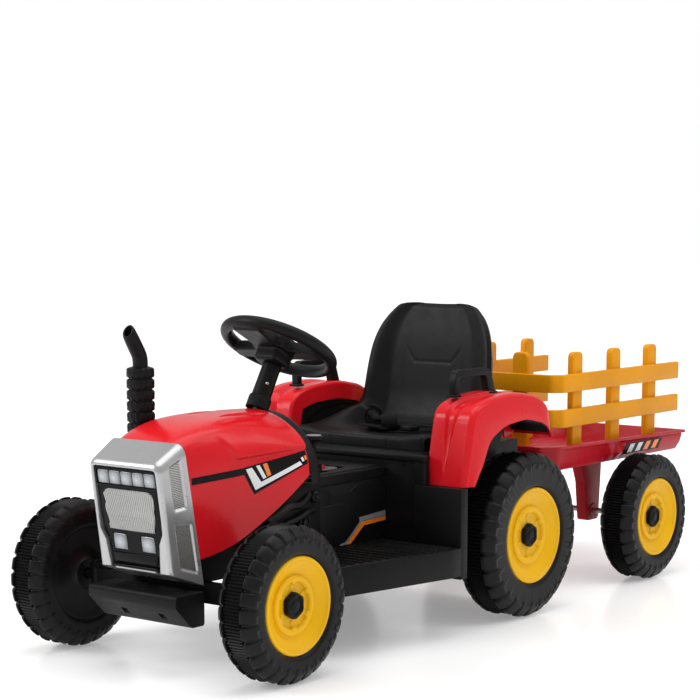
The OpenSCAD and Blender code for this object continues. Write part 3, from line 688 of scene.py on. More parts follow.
def decal(name, quads, surface, lift, body, colour):
    pieces = [patch(f"{name}_{i}", q, surface, lift) for i, q in enumerate(quads)]
    whole = join(*pieces) if len(pieces) > 1 else pieces[0]
    whole.name = whole.data.name = name
    return finished(both_sides(whole), body, finish(colour))


def build_hood_decals():
    side = hood_side_x
    decal("hood_band", [
        [(YF - 42, 284), (YF + 54, 290.5), (YF + 54, 280.5), (YF - 41, 274)],
        [(YF + 54, 290.5), (YF + 176, 306), (YF + 176, 287), (YF + 73, 250)],
        [(YF + 54, 290.5), (YF + 54, 290.4), (YF + 73, 250), (YF + 54, 280.5)],
    ], side, 0.25, "tractor", "black_decal")
    decal("hood_chevron", [
        [(YF + 57, 288), (YF + 69, 289.5), (YF + 86, 267), (YF + 75, 256)],
        [(YF + 86, 267), (YF + 161, 291), (YF + 165, 286), (YF + 75, 256)],
        [(YF + 77, 291.5), (YF + 84, 292), (YF + 96, 273), (YF + 90, 271)],
        [(YF + 164, 296), (YF + 168, 297), (YF + 170, 291), (YF + 166, 290)],
    ], side, 0.5, "tractor", "white_decal")
    decal("hood_accent", [
        [(YF + 90, 293), (YF + 98, 294), (YF + 105, 276), (YF + 98, 274)],
        [(YF + 170.5, 298), (YF + 174.5, 299), (YF + 175.5, 293), (YF + 171.5, 292)],
    ], side, 0.5, "tractor", "orange_decal")


def build_cowl():
    low, high = corners("cowl")
    w, foot, crest, k = high.x, low.z, high.z, 2.1
    stations = [(0.3, 0), (17, 0.5), (23, 2), (27, 5), (30, 10)]
    rings = []
    for ahead, inset in stations:
        ring = arch(w - inset, foot, crest - inset, k, 96)
        rings.append([Vector((p.x, HOOD_END + ahead, p.z)) for p in ring])

    def place(u, v):
        ring = rings[round(v * 4)]
        return ring[round(u * 96)]

    cowl = grid("cowl_band", 96, 4, place)
    edit(cowl, (bpy.ops.mesh.fill_holes, {"sides": 0}),
         (bpy.ops.mesh.normals_make_consistent, {"inside": False}))
    finished(cowl, "tractor", finish("black"), ["cowl"])


# ---------- nose ----------

NOSE_W, NOSE_H = 66, 158


def nose_y(t, v):
    """Place of the shell t of the way back and v of the way up."""
    return mix(mix(YF - 80, YF - 104, v), mix(YF - 18, YF - 56.3, v), t)


def nose_z(t, v):
    return mix(mix(ZF + 36, ZF + 194, v), mix(ZF + 13.3, NOSE_ROOF, v), t)


def nose_half(t, v):
    """Half width of the shell there."""
    return mix(mix(71, 69.5, v), 75, t)


def nose_outline(count):
    """The shell's front outline, (across, up), and the inward normal at each of its points."""
    line = fillet(even([(NOSE_W, 0), (NOSE_W, NOSE_H)]), 15, 10)
    ring = spaced(line + [line[0]], count)
    normals = []
    for i in range(count):
        along = Vector(ring[(i + 1) % count]) - Vector(ring[i - 1])
        normals.append(Vector((-along.y, along.x)).normalized())
    return ring, normals


TOP_BORDER = 7.4


def nose_border(v):
    """Width of the front border; it widens into wedges low down."""
    return between([(0, 21), (0.27, 16), (0.37, 8.2), (0.5, TOP_BORDER), (1, TOP_BORDER)], v)


# each pocket: its range from the front to the back, and from the foot to the roof, as shares
VENTS = [(0.40, 0.79, 0.57, 0.91), (0.35, 0.86, 0.09, 0.44)]
POCKET_DEPTH = 4.0


def vent_sink(t, v):
    """Depth of the two pockets in a cheek."""
    sunk = 0
    for t0, t1, v0, v1 in VENTS:
        inside = step(t0 - 0.05, t0 + 0.02, t) * step(t1 + 0.05, t1 - 0.02, t)
        sunk = max(sunk, inside * step(v0 - 0.02, v0 + 0.008, v) * step(v1 + 0.02, v1 - 0.008, v))
    return POCKET_DEPTH * sunk


def nose_place(point, inward, t, inset, sink=0.0):
    """A point of the shell: inset moves it in from the outline, sink moves a cheek inwards."""
    x, up = point.x + inward.x * inset, point.y + inward.y * (inset if inward.y < 0.3 else min(inset, 2))
    v = up / NOSE_H
    return Vector((x / NOSE_W * (nose_half(t, v) - sink), nose_y(t, v), nose_z(t, v)))


def build_nose_shell():
    around = 360
    outline, normals = nose_outline(around)
    cheek = [(i / 44, 0) for i in range(7, 45)]
    front = [(0.15 * (1 - cos(pi / 2 * i / 8)) - 0.012, 6.2 * (1 - sin(pi / 2 * i / 8))) for i in range(9)]
    opening = [(1, 7), (0.5, 7), (0.12, "border+"), (0.04, "border+"), (0.0, "border"), (-0.011, "lip")]
    stations = opening + front + cheek
    last = len(stations)

    def place(u, k):
        t, inset = stations[round(k * last) % last]
        index = round(u * around) % around
        point, inward = outline[index], normals[index]
        v = point.y / NOSE_H
        sink = 0.0
        if isinstance(inset, str):
            sideward = step(0.55, 0.8, abs(point.x) / NOSE_W)
            wide = nose_border(v) * sideward + TOP_BORDER * (1 - sideward) * step(0.4, 0.8, v)
            inset = {"border": wide, "border+": wide + 0.9, "lip": max(6.5, wide - 1.2)}[inset]
        elif abs(point.x) > NOSE_W - 1 and t > 0:
            sink = vent_sink(t, v)
        return nose_place(point, inward, t, inset, sink)

    shell = close_skin(grid("nose_shell", around, last, place))
    finished(shell, "tractor", finish("silver"), ["grille_frame"], 40)


def build_vents():
    pieces = []
    for i, (t0, t1, v0, v1) in enumerate(VENTS):
        def place(u, w):
            t, v = mix(t0 - 0.015, t1 + 0.015, u), mix(v0 - 0.006, v1 + 0.006, w)
            rib = abs(((u * 4 + w * (v1 - v0) * 56) % 1) - 0.5) * 2
            return Vector((nose_half(t, v) - 5.4 + 2.6 * step(0.35, 0.75, rib), nose_y(t, v), nose_z(t, v)))
        insert = grid(f"vent_{i}", 42, 150, place)
        if insert.data.polygons[0].normal.x < 0:
            insert.data.flip_normals()
        pieces.append(thicken(insert, 1.2))
    inserts = join(*pieces)
    inserts.name = inserts.data.name = "cheek_vents"
    finished(both_sides(inserts), "tractor", finish("vent"))


PANEL_T = 0.08
PANEL_FOOT = Vector((0, nose_y(PANEL_T, 0), nose_z(PANEL_T, 0)))
PANEL_UP = (Vector((0, nose_y(PANEL_T, 1), nose_z(PANEL_T, 1))) - PANEL_FOOT).normalized()
PANEL_OUT = Vector((1, 0, 0)).cross(PANEL_UP)


def on_panel(obj):
    """Moves a piece modelled as (across, up, out) onto the leaning grille panel."""
    turn = Matrix((Vector((1, 0, 0)), PANEL_UP, PANEL_OUT)).transposed().to_4x4()
    obj.data.transform(Matrix.Translation(PANEL_FOOT * MM) @ turn)
    return obj


def rounded_box(half_w, low, high, radius, taper=0.0):
    """Outline of a box with round corners, narrower at its foot by taper."""
    return fillet([(half_w, high), (-half_w, high), (-half_w + taper, low), (half_w - taper, low)], radius,
                  5, True)


def build_panel():
    panel = prism("panel_back", rounded_box(63, 2, 159, 10, 4), -9, -3, "z", 1.0)
    bezel = prism("bezel", fillet([(62, 152), (59, 157), (-59, 157), (-62, 152), (-58, 60), (-49, 44),
                                   (-47, 4), (47, 4),
                                   (49, 44), (58, 60)], 5, 4, True), -4, 0.4, "z", 1.4)
    cut(bezel, prism("mesh_hole", rounded_box(49, 62, 121, 12, 3), -2.5, 6, "z", 0))
    for side in (-1, 1):
        hole_line = [(x + side * 27.5, y) for x, y in rounded_box(14.5, 29, 55, 4, 1)]
        hole = prism("fog_hole", hole_line, -3, 6, "z", 0)
        cut(bezel, hole)
    rail = prism("lamp_rail", fillet(even([(60.5, 124), (60.5, 152)]), 4, 4, True), -2, 2.2, "z", 1)
    cut(rail, prism("lamp_slot", fillet(even([(57.5, 127), (57.5, 149)]), 2, 3, True), 0.2, 6, "z", 0))
    lip = prism("panel_lip", [(-47, 3), (47, 3), (44, 9), (-44, 9)], 0, 5, "z", 1.5)
    chin = prism("panel_chin", [(-42, 12), (42, 12), (45, 26), (-45, 26)], 0, 2.6, "z", 1.2)
    whole = on_panel(join(panel, bezel, rail, lip, chin))
    whole.name = whole.data.name = "grille_bezel"
    finished(whole, "tractor", finish("gloss"), ["grille_panel"])


def build_mesh():
    ribs = sizes().mesh_ribs

    def place(u, v):
        half = mix(43.5, 49.5, v)
        trim = 14 - sqrt(max(0, 196 - max(0, abs(2 * u - 1) * half - half + 14) ** 2))
        x = mix(-half, half, u)
        y = mix(61, 121 - trim, v)
        wave = abs(((u * ribs + v * 1.6) % 1) - 0.5) * 2
        return Vector((x, y, -0.6 + 2.6 * step(0.25, 0.7, wave) + 1.2 * (1 - (2 * u - 1) ** 2)))

    mesh = thicken(grid("grille_ribs", ribs * 8, 24, place), 1.2)
    on_panel(mesh)
    close_skin(mesh)
    finished(mesh, "tractor", finish("mesh"), ["grille_mesh"])


def lens_cap(name, x, y, half_w, half_h, rise):
    """A pillow-shaped lens with a round bead in its middle."""
    def place(u, v):
        a, b = 2 * u - 1, 2 * v - 1
        pillow = (1 - abs(a) ** 6) * (1 - abs(b) ** 6)
        bead = step(0.55, 0.1, sqrt(a * a + b * b))
        return Vector((x + a * half_w * (1 - 0.04 * b * b), y + b * half_h * (1 - 0.04 * a * a),
                       0.3 + rise * pillow ** 0.5 + 0.8 * bead))
    return thicken(grid(name, 24, 24, place), 1.5)


def build_lamps():
    lenses = [lens_cap(f"led_{i}", (i - 2) * 22.8, 138, 10.9, 10.4, 1.6) for i in range(5)]
    lenses += [lens_cap(f"fog_{s}", s * 27.5, 42, 13, 11.8, 1.2) for s in (-1, 1)]
    lamps = on_panel(join(*lenses))
    lamps.name = lamps.data.name = "lamp_glass"
    finished(lamps, "tractor", finish("lens"), ["lamp_lenses"])


def build_bumper():
    low, high = corners("front_bumper")
    outline = [(YF - 30, high.z), (low.y + 2, high.z), (low.y, high.z - 5), (low.y, high.z - 17),
               (YF - 57, low.z), (YF - 30, low.z)]
    bar = prism("bumper_bar", fillet(outline, 4, 3, True), low.x, high.x, "x", 4)
    for x in (-30, 44):
        cut(bar, block("slot", (x - 6, YF - 76, ZF - 40), (x + 6, YF - 66, ZF - 20), 1))
    groove_end = (high.x + 2, low.y + 1.1, high.z - 4.8)
    groove = block("groove", (low.x - 2, low.y - 1, high.z - 6.2), groove_end, 0.3)
    cut(bar, groove)
    arms = both_sides(block("bumper_arm", (24, YF - 31, ZF - 20), (50, YF - 13.3, ZF - 2), 1.5))
    finished(join(bar, arms), "tractor", finish("black"), ["front_bumper"])


# ---------- exhaust ----------

STACK_LOW, STACK_HIGH = corners("exhaust_bellows")
STACK_AXIS = Vector(((STACK_LOW.x + STACK_HIGH.x) / 2, (STACK_LOW.y + STACK_HIGH.y) / 2, 0))


def build_bellows():
    radius, top, foot = (STACK_HIGH.x - STACK_LOW.x) / 2 - 1.6, STACK_HIGH.z, STACK_LOW.z
    rings = sizes().bellows_rings
    stack = 99
    base = top - stack
    pitch = stack / rings
    profile = [(0.01, foot), (13, foot), (13.5, base - 2), (radius - 6, base)]
    for i in range(rings):
        z = base + i * pitch
        profile += [(radius - 3.8, z + 0.5), (radius - 1.5, z + 1.0), (radius - 0.4, z + 2.8),
                    (radius, z + pitch * 0.5),
                    (radius - 0.4, z + pitch - 3.6), (radius - 1.5, z + pitch - 1.8),
                    (radius - 3.8, z + pitch - 1.2)]
    profile += [(radius - 8, top + 0.2), (10.4, top + 0.2), (10.4, top - 20), (0.01, top - 20)]

    def wave(r, h, angle):
        if r > radius - 3 and h > base:
            return r - 0.7 - 0.7 * sin(14 * angle + 2.2 * sin(h * 0.75)), h
        return r, h

    bellows = lathe("exhaust_rings", profile, STACK_AXIS, (0, 0, 1), 108, wave)
    finished(bellows, "tractor", finish("black"), ["exhaust_bellows"])


def build_pipe():
    top = STACK_HIGH.z
    bend = top + 22
    lean = radians(32)
    path = [Vector((0, 0, top - 19)), Vector((0, 0, top)), Vector((0, 0, bend - 16))]
    for i in range(1, 9):
        a = lean * i / 8
        path.append(Vector((0, -30 * (1 - cos(a)), bend - 16 + 30 * sin(a))))
    tail = path[-1]
    path += [tail + Vector((0, -sin(lean), cos(lean))) * d for d in (11, 23, 34, 38)]
    path = [p + STACK_AXIS for p in path]
    count = 40
    radii = [11.4] * (len(path) - 3) + [11.2, 10.6, 9.4]

    def place(u, v):
        k = v * (2 * len(path) - 1)
        inner = round(k) >= len(path)
        i = round(k) if not inner else 2 * len(path) - 1 - round(k)
        i = min(max(i, 0), len(path) - 1)
        before, after = path[max(i - 1, 0)], path[min(i + 1, len(path) - 1)]
        along = (after - before).normalized()
        forward = along.cross(Vector((1, 0, 0)))
        a = 2 * pi * u
        r = radii[i] - (2.6 if inner else 0)
        slant = 9 * sin(a) * step(len(path) - 4.5, len(path) - 1, i)
        return path[i] + (Vector((1, 0, 0)) * cos(a) + forward * sin(a)) * r + along * slant * 0.5

    pipe = grid("exhaust_tip", count, 2 * len(path) - 1, place)
    close_skin(pipe, True)
    finished(pipe, "tractor", finish("black"), ["exhaust_pipe"])


# ---------- steering ----------

COLUMN_UP = Vector((0, sin(COLUMN_LEAN), cos(COLUMN_LEAN)))
COLUMN_BACK = Vector((0, cos(COLUMN_LEAN), -sin(COLUMN_LEAN)))


def on_column(obj):
    """Moves a piece modelled round the steering axis, Y towards the driver, onto the column."""
    turn = Matrix((Vector((1, 0, 0)), COLUMN_BACK, COLUMN_UP)).transposed().to_4x4()
    obj.data.transform(Matrix.Translation(WHEEL_CENTRE * MM) @ turn)
    return obj


HORN_X, HORN_Y = 22, 8


def build_steering_wheel():
    outer, thick = 94.5, 20
    ring = [(outer - thick / 2 + 9.7 * cos(2 * pi * i / 28), 10 * sin(2 * pi * i / 28)) for i in range(28)]
    rim = lathe("wheel_rim", ring, (0, 0, 0), (0, 0, 1), 160)
    hub = prism("hub", fillet(even([(30, -30), (34, -8), (31, 20)]), 7, 4, True),
                -12, 9.5, "z", 3.5)
    neck = prism("neck", fillet(even([(21, -24), (25, -6), (22, 17)]), 6, 4, True),
                 -31, -4, "z", 4)
    front = prism("front_spoke", fillet(even([(22, -30), (27, -outer + 12)]), 3, 3, True),
                  -13, 5, "z", 4)
    side = prism("side_spoke", fillet([(26, -15), (outer - 13, -10), (outer - 13, 14), (26, 16)], 3, 3, True),
                 -13, 4, "z", 4)
    wheel = join(rim, hub, neck, front, both_sides(side))
    modify(wheel, "REMESH", mode="VOXEL", voxel_size=1.25 * MM, use_smooth_shade=True)
    modify(wheel, "CORRECTIVE_SMOOTH", iterations=6, use_only_smooth=True)
    cut(wheel, prism("pad_line", fillet(even([(26, -22), (29, -6), (26, 15)]), 6, 4, True),
                     8.7, 12, "z", 0))
    pad = prism("hub_pad", fillet(even([(25, -21), (28, -6), (25, 14)]), 6, 4, True),
                6, 10, "z", 1.2)
    hole = [(0.01, 5.4), (7.7, 5.4), (7.7, 14), (0.01, 14)]
    for x in (-HORN_X, HORN_X):
        cut(pad, lathe("horn_hole", hole, (x, HORN_Y, 0), (0, 0, 1), 48))
    wheel = on_column(join(wheel, pad))
    wheel.name = wheel.data.name = "wheel_grip"
    finished(wheel, "steering", finish("grip"), ["steering_wheel"], 45)


def build_horns():
    profile = [(0.01, 5), (6.9, 5), (6.9, 10.6), (6.2, 11.7), (4.5, 12.3), (2.5, 11.9), (0.01, 11.8)]
    for side, x in (("left", HORN_X), ("right", -HORN_X)):
        cap = lathe(f"horn_cap_{side}", profile, (x, HORN_Y, 0), (0, 0, 1), 40)
        finished(on_column(cap), f"horn_{side}", finish("grey"), [f"horn_button_{side}"])


def build_column():
    tube = lathe("column_tube",
                 [(6.2, -106), (18, -106), (18, -88), (17, -86), (15.2, -85), (14.8, -60), (14.6, -38),
                                 (15.4, -37), (15.4, -33.5), (14.5, -31.8), (6.2, -31.8)],
                 (0, 0, 0), (0, 0, 1), 72)
    finished(on_column(tube), "tractor", finish("black"), ["steering_column"])
    screw = [(0.01, 0), (2.6, 0), (2.6, 1.0), (1.8, 1.9), (0.01, 2.2)]
    head = lathe("column_screw", screw, (0, 0, 0), (0, 0, 1), 24)
    facing = Vector((0.78, -0.62, 0)).normalized()
    turn = facing.to_track_quat("Z", "Y").to_matrix().to_4x4()
    head.data.transform(turn)
    moved(head, facing * 14.4 + Vector((0, 0, -66)))
    finished(on_column(head), "tractor", finish("steel"))


# ---------- fenders and handles ----------

FENDER_IN = 144.3
FENDER_LINE = [(YR - 182, ZR + 97), (YR - 156, ZR + 218), (YR - 110, ZR + 232), (YR - 30, ZR + 237),
               (YR + 32, ZR + 226), (YR + 62, ZR + 208), (YR + 72, ZR + 158)]
FENDER_ARCH = [(YR - 160, ZR + 97), (YR - 150, ZR + 112), (YR - 136, ZR + 130), (YR - 119, ZR + 166),
               (YR - 76, ZR + 186), (YR - 14, ZR + 192), (YR + 44, ZR + 180), (YR + 64, ZR + 159)]


# the fender's outer line and the wheel opening's edge, both from the front foot to the rear end
FENDER_STEPS = 160
FENDER_TOP = spaced(fillet(FENDER_LINE, 34, 10), FENDER_STEPS)
FENDER_EDGE = spaced(fillet(FENDER_ARCH, 16, 6), FENDER_STEPS)


def fender_groove(t, x):
    """Depth of the tapered groove that starts low on the front face and opens on to the top."""
    left = mix(180, 172, step(0.02, 0.3, t))
    width = 3 + 30 * step(0.02, 0.45, t)
    along = step(0.035, 0.10, t) * (1 - step(0.78, 0.86, t))
    inside = step(left - 3.4, left + 0.6, x) * (1 - step(left + width * 0.40, left + width, x))
    return 6.4 * along * inside * step(0.02, 0.22, t)


def build_fender():
    # last grid line of the inner rim, the inner corner, the top and the outer corner; then the side
    rim_end, corner_end, top_end, shoulder_end, across = 14, 22, 70, 80, 92

    def place(u, v):
        i = round(v * FENDER_STEPS)
        top, edge = FENDER_TOP[i], FENDER_EDGE[i]
        out = (FENDER_TOP[min(FENDER_STEPS, i + 1)] - FENDER_TOP[max(0, i - 1)]).normalized()
        normal = Vector((-out.y, out.x))
        if normal.dot(top - Vector((YR, ZR + 60))) < 0:
            normal = -normal
        k = u * across
        if k <= rim_end:
            rim = top - normal * 30
            spot, x = rim.lerp(top - normal * 6, k / rim_end), FENDER_IN + 0.6
        elif k <= corner_end:
            a = (k - rim_end) / (corner_end - rim_end) * pi / 2
            spot, x = top - normal * 6 * (1 - sin(a)), FENDER_IN + 0.6 + 6 * (1 - cos(a))
        elif k <= top_end:
            x = mix(FENDER_IN + 6.6, FENDER_OUT - 15, (k - corner_end) / (top_end - corner_end))
            spot = top - normal * fender_groove(v, x)
        elif k <= shoulder_end:
            a = (k - top_end) / (shoulder_end - top_end) * pi / 2
            x = FENDER_OUT - 15 + 11 * sin(a)
            spot = top - normal * 8 * (1 - cos(a))
        else:
            w = (k - shoulder_end) / (across - shoulder_end)
            spot = (top - normal * 8).lerp(edge, w)
            x = FENDER_OUT - 4 + 4 * sin(w * pi / 2)
        return Vector((x, spot.x, max(spot.y, ZR + 97.2)))

    skin = grid("fender_skin_left", across, FENDER_STEPS, place)
    edit(skin, (bpy.ops.mesh.normals_make_consistent, {"inside": False}))
    middle_face = skin.data.polygons[across * FENDER_STEPS // 2 + across // 2]
    if middle_face.normal.z < 0:
        skin.data.flip_normals()
    thicken(skin, SKIN)
    far = mirrored(skin, "fender_skin_right")
    finished(skin, "tractor", finish("red"), ["fender_left"], 30)
    finished(far, "tractor", finish("red"), ["fender_right"], 30)


def build_arch_shade():
    # Black sheets inside each fender arch, a wall on its inner side and a roof just above the opening:
    # painted shade where the inside of the arch lies in shadow
    shade_wall_low = ZR + 110
    profile = [(p.x, p.y - 7) for p in FENDER_TOP[4:-2:6]]
    inner = [(p.x, p.y - 70 * (1 - step(YR, YR + 50, p.x))) for p in reversed(FENDER_EDGE[4:-2:6])]
    wall = prism("fender_lining", [(y, max(z, shade_wall_low - 12)) for y, z in profile + inner], FENDER_IN + 4,
                 FENDER_IN + 7, "x", 0)
    roof_line = [Vector((0, p.x, p.y)) for p in FENDER_EDGE]

    def roof(u, v):
        edge = roof_line[round(v * FENDER_STEPS)]
        return Vector((mix(FENDER_IN + 4, FENDER_OUT - 5, u), edge.y, edge.z + 5))

    vault = grid("vault", 4, FENDER_STEPS, roof)
    if vault.data.polygons[len(vault.data.polygons) // 2].normal.z < 0:
        vault.data.flip_normals()
    shade_piece = both_sides(join(thicken(vault, 2), wall))
    shade_piece.name = shade_piece.data.name = "arch_shade_sheets"
    finished(shade_piece, "tractor", finish("black"))


def build_handles():
    low, high = corners("grab_handles")
    x = high.x - 6
    y0, y1, top, foot = low.y + 8, high.y - 14, high.z + 7, low.z + 14
    outer = fillet([(y0 + 1, foot), (y0, top - 18), (y0 + 6, top), (y1 - 24, top), (y1 - 12, top - 8),
                    (y1, foot)],
                   11, 6)
    inner = fillet([(y0 + 12, foot - 3), (y0 + 12, top - 12), (y1 - 28, top - 12), (y1 - 19, foot - 3)], 7,
                   5, True)
    handle = prism("handle", [tuple(p) for p in outer], x - 6.5, x + 6.5, "x", 0)
    cut(handle, prism("handle_gap", [tuple(p) for p in inner], x - 12, x + 12, "x", 0))
    round_edges(handle, 4.5, 4, 40)
    pads = [block("handle_foot", (x - 9, y0 - 4, foot - 1), (x + 9, y0 + 15, foot + 3), 1.5),
            block("handle_foot", (x - 9, y1 - 22, foot - 3), (x + 9, y1 + 3, foot + 2), 1.5)]
    whole = both_sides(join(handle, *pads))
    whole.name = whole.data.name = "handle_bars"
    finished(whole, "tractor", finish("grip"), ["grab_handles"])


# ---------- seat and belt ----------

SEAT_LOW, SEAT_HIGH = corners("seat")
PAN_W = SEAT_HIGH.x
PAN_FRONT = SEAT_LOW.y
LEDGE = SEAT_LOW.z
SEAT_TOP = SEAT_HIGH.z
BACK_W = 132


def seat_line():
    """The seat's middle line: up the front lip, back over the pan and up the backrest."""
    y0 = PAN_FRONT
    return spaced(fillet([(y0 + 1, LEDGE + 0.3), (y0, LEDGE + 22), (y0 + 90, LEDGE + 18),
                          (YR + 18, LEDGE + 20),
                          (YR + 32, LEDGE + 62), (YR + 44, SEAT_TOP - 62), (YR + 56, SEAT_TOP - 6),
                          (YR + 62, SEAT_TOP)], 26, 8), 150)


def seat_half_width(y, z):
    if z < LEDGE + 30 and y < YR + 10:
        return PAN_W - 1 - 5 * (1 - step(PAN_FRONT, PAN_FRONT + 26, y))
    h = min(1, max(0, (z - LEDGE - 20) / (SEAT_TOP - LEDGE - 20)))
    flare = 6 * (1 - step(0, 0.25, h))
    return BACK_W * (1 - h ** 5 * 0.62) ** 0.6 * (1 - 0.035 * h) * (1 - 0.30 * step(0.965, 1, h)) + flare


def seat_seam(x, y, z):
    """Depth of the lines moulded into the seat: an upturned one, two uprights and the lip's notches."""
    def line(distance, width=2.0):
        return step(width, 0.2, abs(distance))
    smile = 0
    if SEAT_TOP - 120 < z < SEAT_TOP - 58 and abs(x) < 62:
        low = SEAT_TOP - 100
        target = low + 26 * max(0, (abs(x) - 34) / 22) ** 1.6 if abs(x) > 34 else low
        slope = 1 + 1.3 * step(34, 56, abs(x))
        smile = line((z - target) / slope, 1.8) * step(60, 50, abs(x))
    reach = step(LEDGE + 55, LEDGE + 75, z) * step(SEAT_TOP - 85, SEAT_TOP - 105, z)
    upright = line(abs(x) - 62, 1.5) * reach
    notch = line(abs(x) - 57, 2.6) * step(PAN_FRONT + 22, PAN_FRONT + 8, y) * step(LEDGE + 60, LEDGE + 30, z)
    return sizes().seam_depth * max(smile, 0.5 * upright, 0.9 * notch)


def build_seat():
    line = seat_line()
    count = len(line) - 1
    front = 108
    around = 144

    def place(u, v):
        i = round(v * count)
        y, z = line[i]
        before, after = line[max(0, i - 1)], line[min(count, i + 1)]
        along = (after - before).normalized()
        normal = Vector((-along.y, along.x))
        half = seat_half_width(y, z)
        h = min(1, max(0, (z - LEDGE - 20) / (SEAT_TOP - LEDGE - 20)))
        on_back = step(LEDGE + 22, LEDGE + 60, z) if y > YR - 30 else 0
        rearness = step(PAN_FRONT + 20, YR + 10, y)
        k = round(u * around) % around
        if k <= front:
            a = 2 * k / front - 1
            x = half * a
            side = abs(a)
            wing = mix(5 + 24 * rearness, 17 * (1 - h) + 5, on_back)
            lift = wing * step(0.62, 0.93, side) - 2.5 * (1 - side * side)
            lift -= 5 * step(0.955, 1.0, side)
            lift -= seat_seam(x, y, z)
            spot = Vector((y, z)) + normal * lift
            if on_back < 0.5:
                spot.x = -eased(-spot.x, -PAN_FRONT - 0.2)
            return Vector((x, spot.x, eased(spot.y, SEAT_TOP, 2)))
        b = (k - front) / (around - front)
        x = half * (1 - 2 * b)
        if on_back > 0.02:
            depth = mix(14, 19, step(0, 0.5, h)) * (1 - 0.55 * step(0.9, 1.0, h))
            lift = -depth + 5 * (2 * b - 1) ** 4 + 10 * (1 - h) * (2 * b - 1) ** 6
            spot = Vector((y, z)) + normal * lift
            low = Vector((min(y + 30, YR + 47), LEDGE + 1))
            spot = low.lerp(spot, on_back)
        else:
            spot = Vector((max(y, PAN_FRONT + 3 + 0.12 * i), LEDGE + 0.4))
        return Vector((x * (0.985 if on_back < 0.02 else 0.97), spot.x, spot.y))

    seat = grid("seat_shell", around, count, place)
    close_skin(seat, True)
    finished(seat, "tractor", finish("seat"), ["seat"], 50)


def strap(name, path, width, up, thickness=2.2):
    section = [(-width / 2, -thickness / 2), (width / 2, -thickness / 2), (width / 2, thickness / 2),
               (-width / 2, thickness / 2)]
    made = sweep(name, path, section, up)
    return round_edges(made, 0.7, 2)


def coil(centre, axis, radii, turns, start, count):
    """A flat spiral round an axis, its radius going from one value to the other."""
    axis = Vector(axis).normalized()
    across = axis.cross(Vector((0, 0, 1)))
    points = []
    for i in range(count + 1):
        t = i / count
        a, r = start + turns * 2 * pi * t, mix(*radii, t)
        points.append(Vector(centre) + across * r * cos(a) + Vector((0, 0, 1)) * r * sin(a))
    return points


def rolled_strap(name, path, width, axis, thickness=3.6):
    section = [(-thickness / 2, -width / 2), (thickness / 2, -width / 2), (thickness / 2, width / 2),
               (-thickness / 2, width / 2)]
    return round_edges(sweep(name, path, section, axis), 0.7, 2)


def build_belt():
    floor = corners("seat_belt")[0].z
    left = spaced(fillet([(PAN_W - 24, YR + 14, floor + 22), (PAN_W - 40, YR - 4, floor + 4),
                          (PAN_W - 62, YR - 34, floor + 4), (30, YR - 66, floor + 9)], 20, 8), 40)
    right = spaced(fillet([(-PAN_W + 24, YR + 14, floor + 22), (-PAN_W + 40, YR + 4, floor + 3),
                           (-PAN_W + 64, YR - 20, floor + 3), (-56, YR - 44, floor + 7),
                           (-34, YR - 60, floor + 12)],
                          20, 8), 40)
    towards, sideways = (0.55, -0.83, 0.05), (0.80, 0.60, 0.05)
    loop = coil((-48, YR - 62, floor + 19), towards, (17, 9), 1.8, 1.2, 70)
    roll = coil((6, YR - 88, floor + 13), sideways, (14, 4), 2.6, 3.6, 90)
    tail = coil((-22, YR - 76, floor + 11), sideways, (9.5, 5), 1.2, 0.4, 40)
    bridge = spaced(fillet([(-54, YR - 76, floor + 5), (-24, YR - 88, floor + 6), (14, YR - 96, floor + 4)],
                           14, 6), 24)
    pieces = [strap("lap_left", left, 27, (0, 0, 1)), strap("lap_right", right, 27, (0, 0, 1)),
              rolled_strap("lap_loop", loop, 26, towards), rolled_strap("lap_roll", roll, 27, sideways),
              rolled_strap("lap_tail", tail, 24, sideways), strap("lap_bridge", bridge, 27, (0, 0, 1), 2.4)]
    belt = join(*pieces)
    belt.name = belt.data.name = "lap_belt"
    finished(belt, "tractor", finish("webbing"), ["seat_belt"])


def build_buckle():
    low, high = corners("belt_buckle")
    centre = (low + high) / 2
    body = prism("buckle_body", [(centre.x + x, centre.y + y) for x, y in
                                 fillet([(-21, -11), (15, -14), (21, 0), (15, 14), (-21, 11)], 5, 4, True)],
                 low.z, low.z + 9, "z", 2.2)
    tongue = block("buckle_tongue", (centre.x - 22, centre.y - 8, low.z + 3),
                   (centre.x - 10, centre.y + 8, low.z + 6),
                   1)
    press_line = fillet([(2, -7), (13, -6), (13, 6), (2, 7)], 3, 3, True)
    press_line = [(centre.x + x, centre.y + y) for x, y in press_line]
    press = prism("buckle_press", press_line, low.z + 7, low.z + 10.4, "z", 1)
    buckle = join(body, tongue, press)
    buckle.name = buckle.data.name = "buckle"
    finished(buckle, "tractor", finish("black"), ["belt_buckle"])


# ---------- cab ----------

def build_shell():
    shell = softened("body_shell", "chassis_shell", 2.6, 2)
    finished(shell, "tractor", finish("black"), ["body_shell"], 30)


def build_boards():
    boards = softened("running_boards", "foot_boards", 2.2, 2)
    low, high = corners("running_boards")
    top = ZF + 27
    ribs = []
    y, pitch = low.y + 26, sizes().board_pitch
    while y < high.y - 14:
        t = (y - low.y) / (high.y - 30 - low.y)
        inner = 99 if y < YF + 222 else TUNNEL_W + 7
        outer = mix(180, high.x - 9, min(1, t))
        ribs.append(prism("rib", [(y, top - 0.4), (y + 9.4, top - 0.4), (y + 7.2, top + 2.8),
                                  (y + 2.2, top + 2.8)],
                          inner, outer, "x", 0))
        y += pitch
    treads = both_sides(join(*ribs))
    lip = [(low.y + 4, top - 0.3), (high.y - 2, top - 0.3), (high.y - 2, top + 2.2), (low.y + 4, top + 2.2)]
    edge = prism("board_edge", fillet(lip, 1, 2, True), TUNNEL_W + 0.8, TUNNEL_W + 4, "x", 0.6)
    edge = both_sides(edge)
    boards = join(boards, treads, edge)
    boards.name = boards.data.name = "foot_boards"
    finished(boards, "tractor", finish("black"), ["running_boards"], 30)


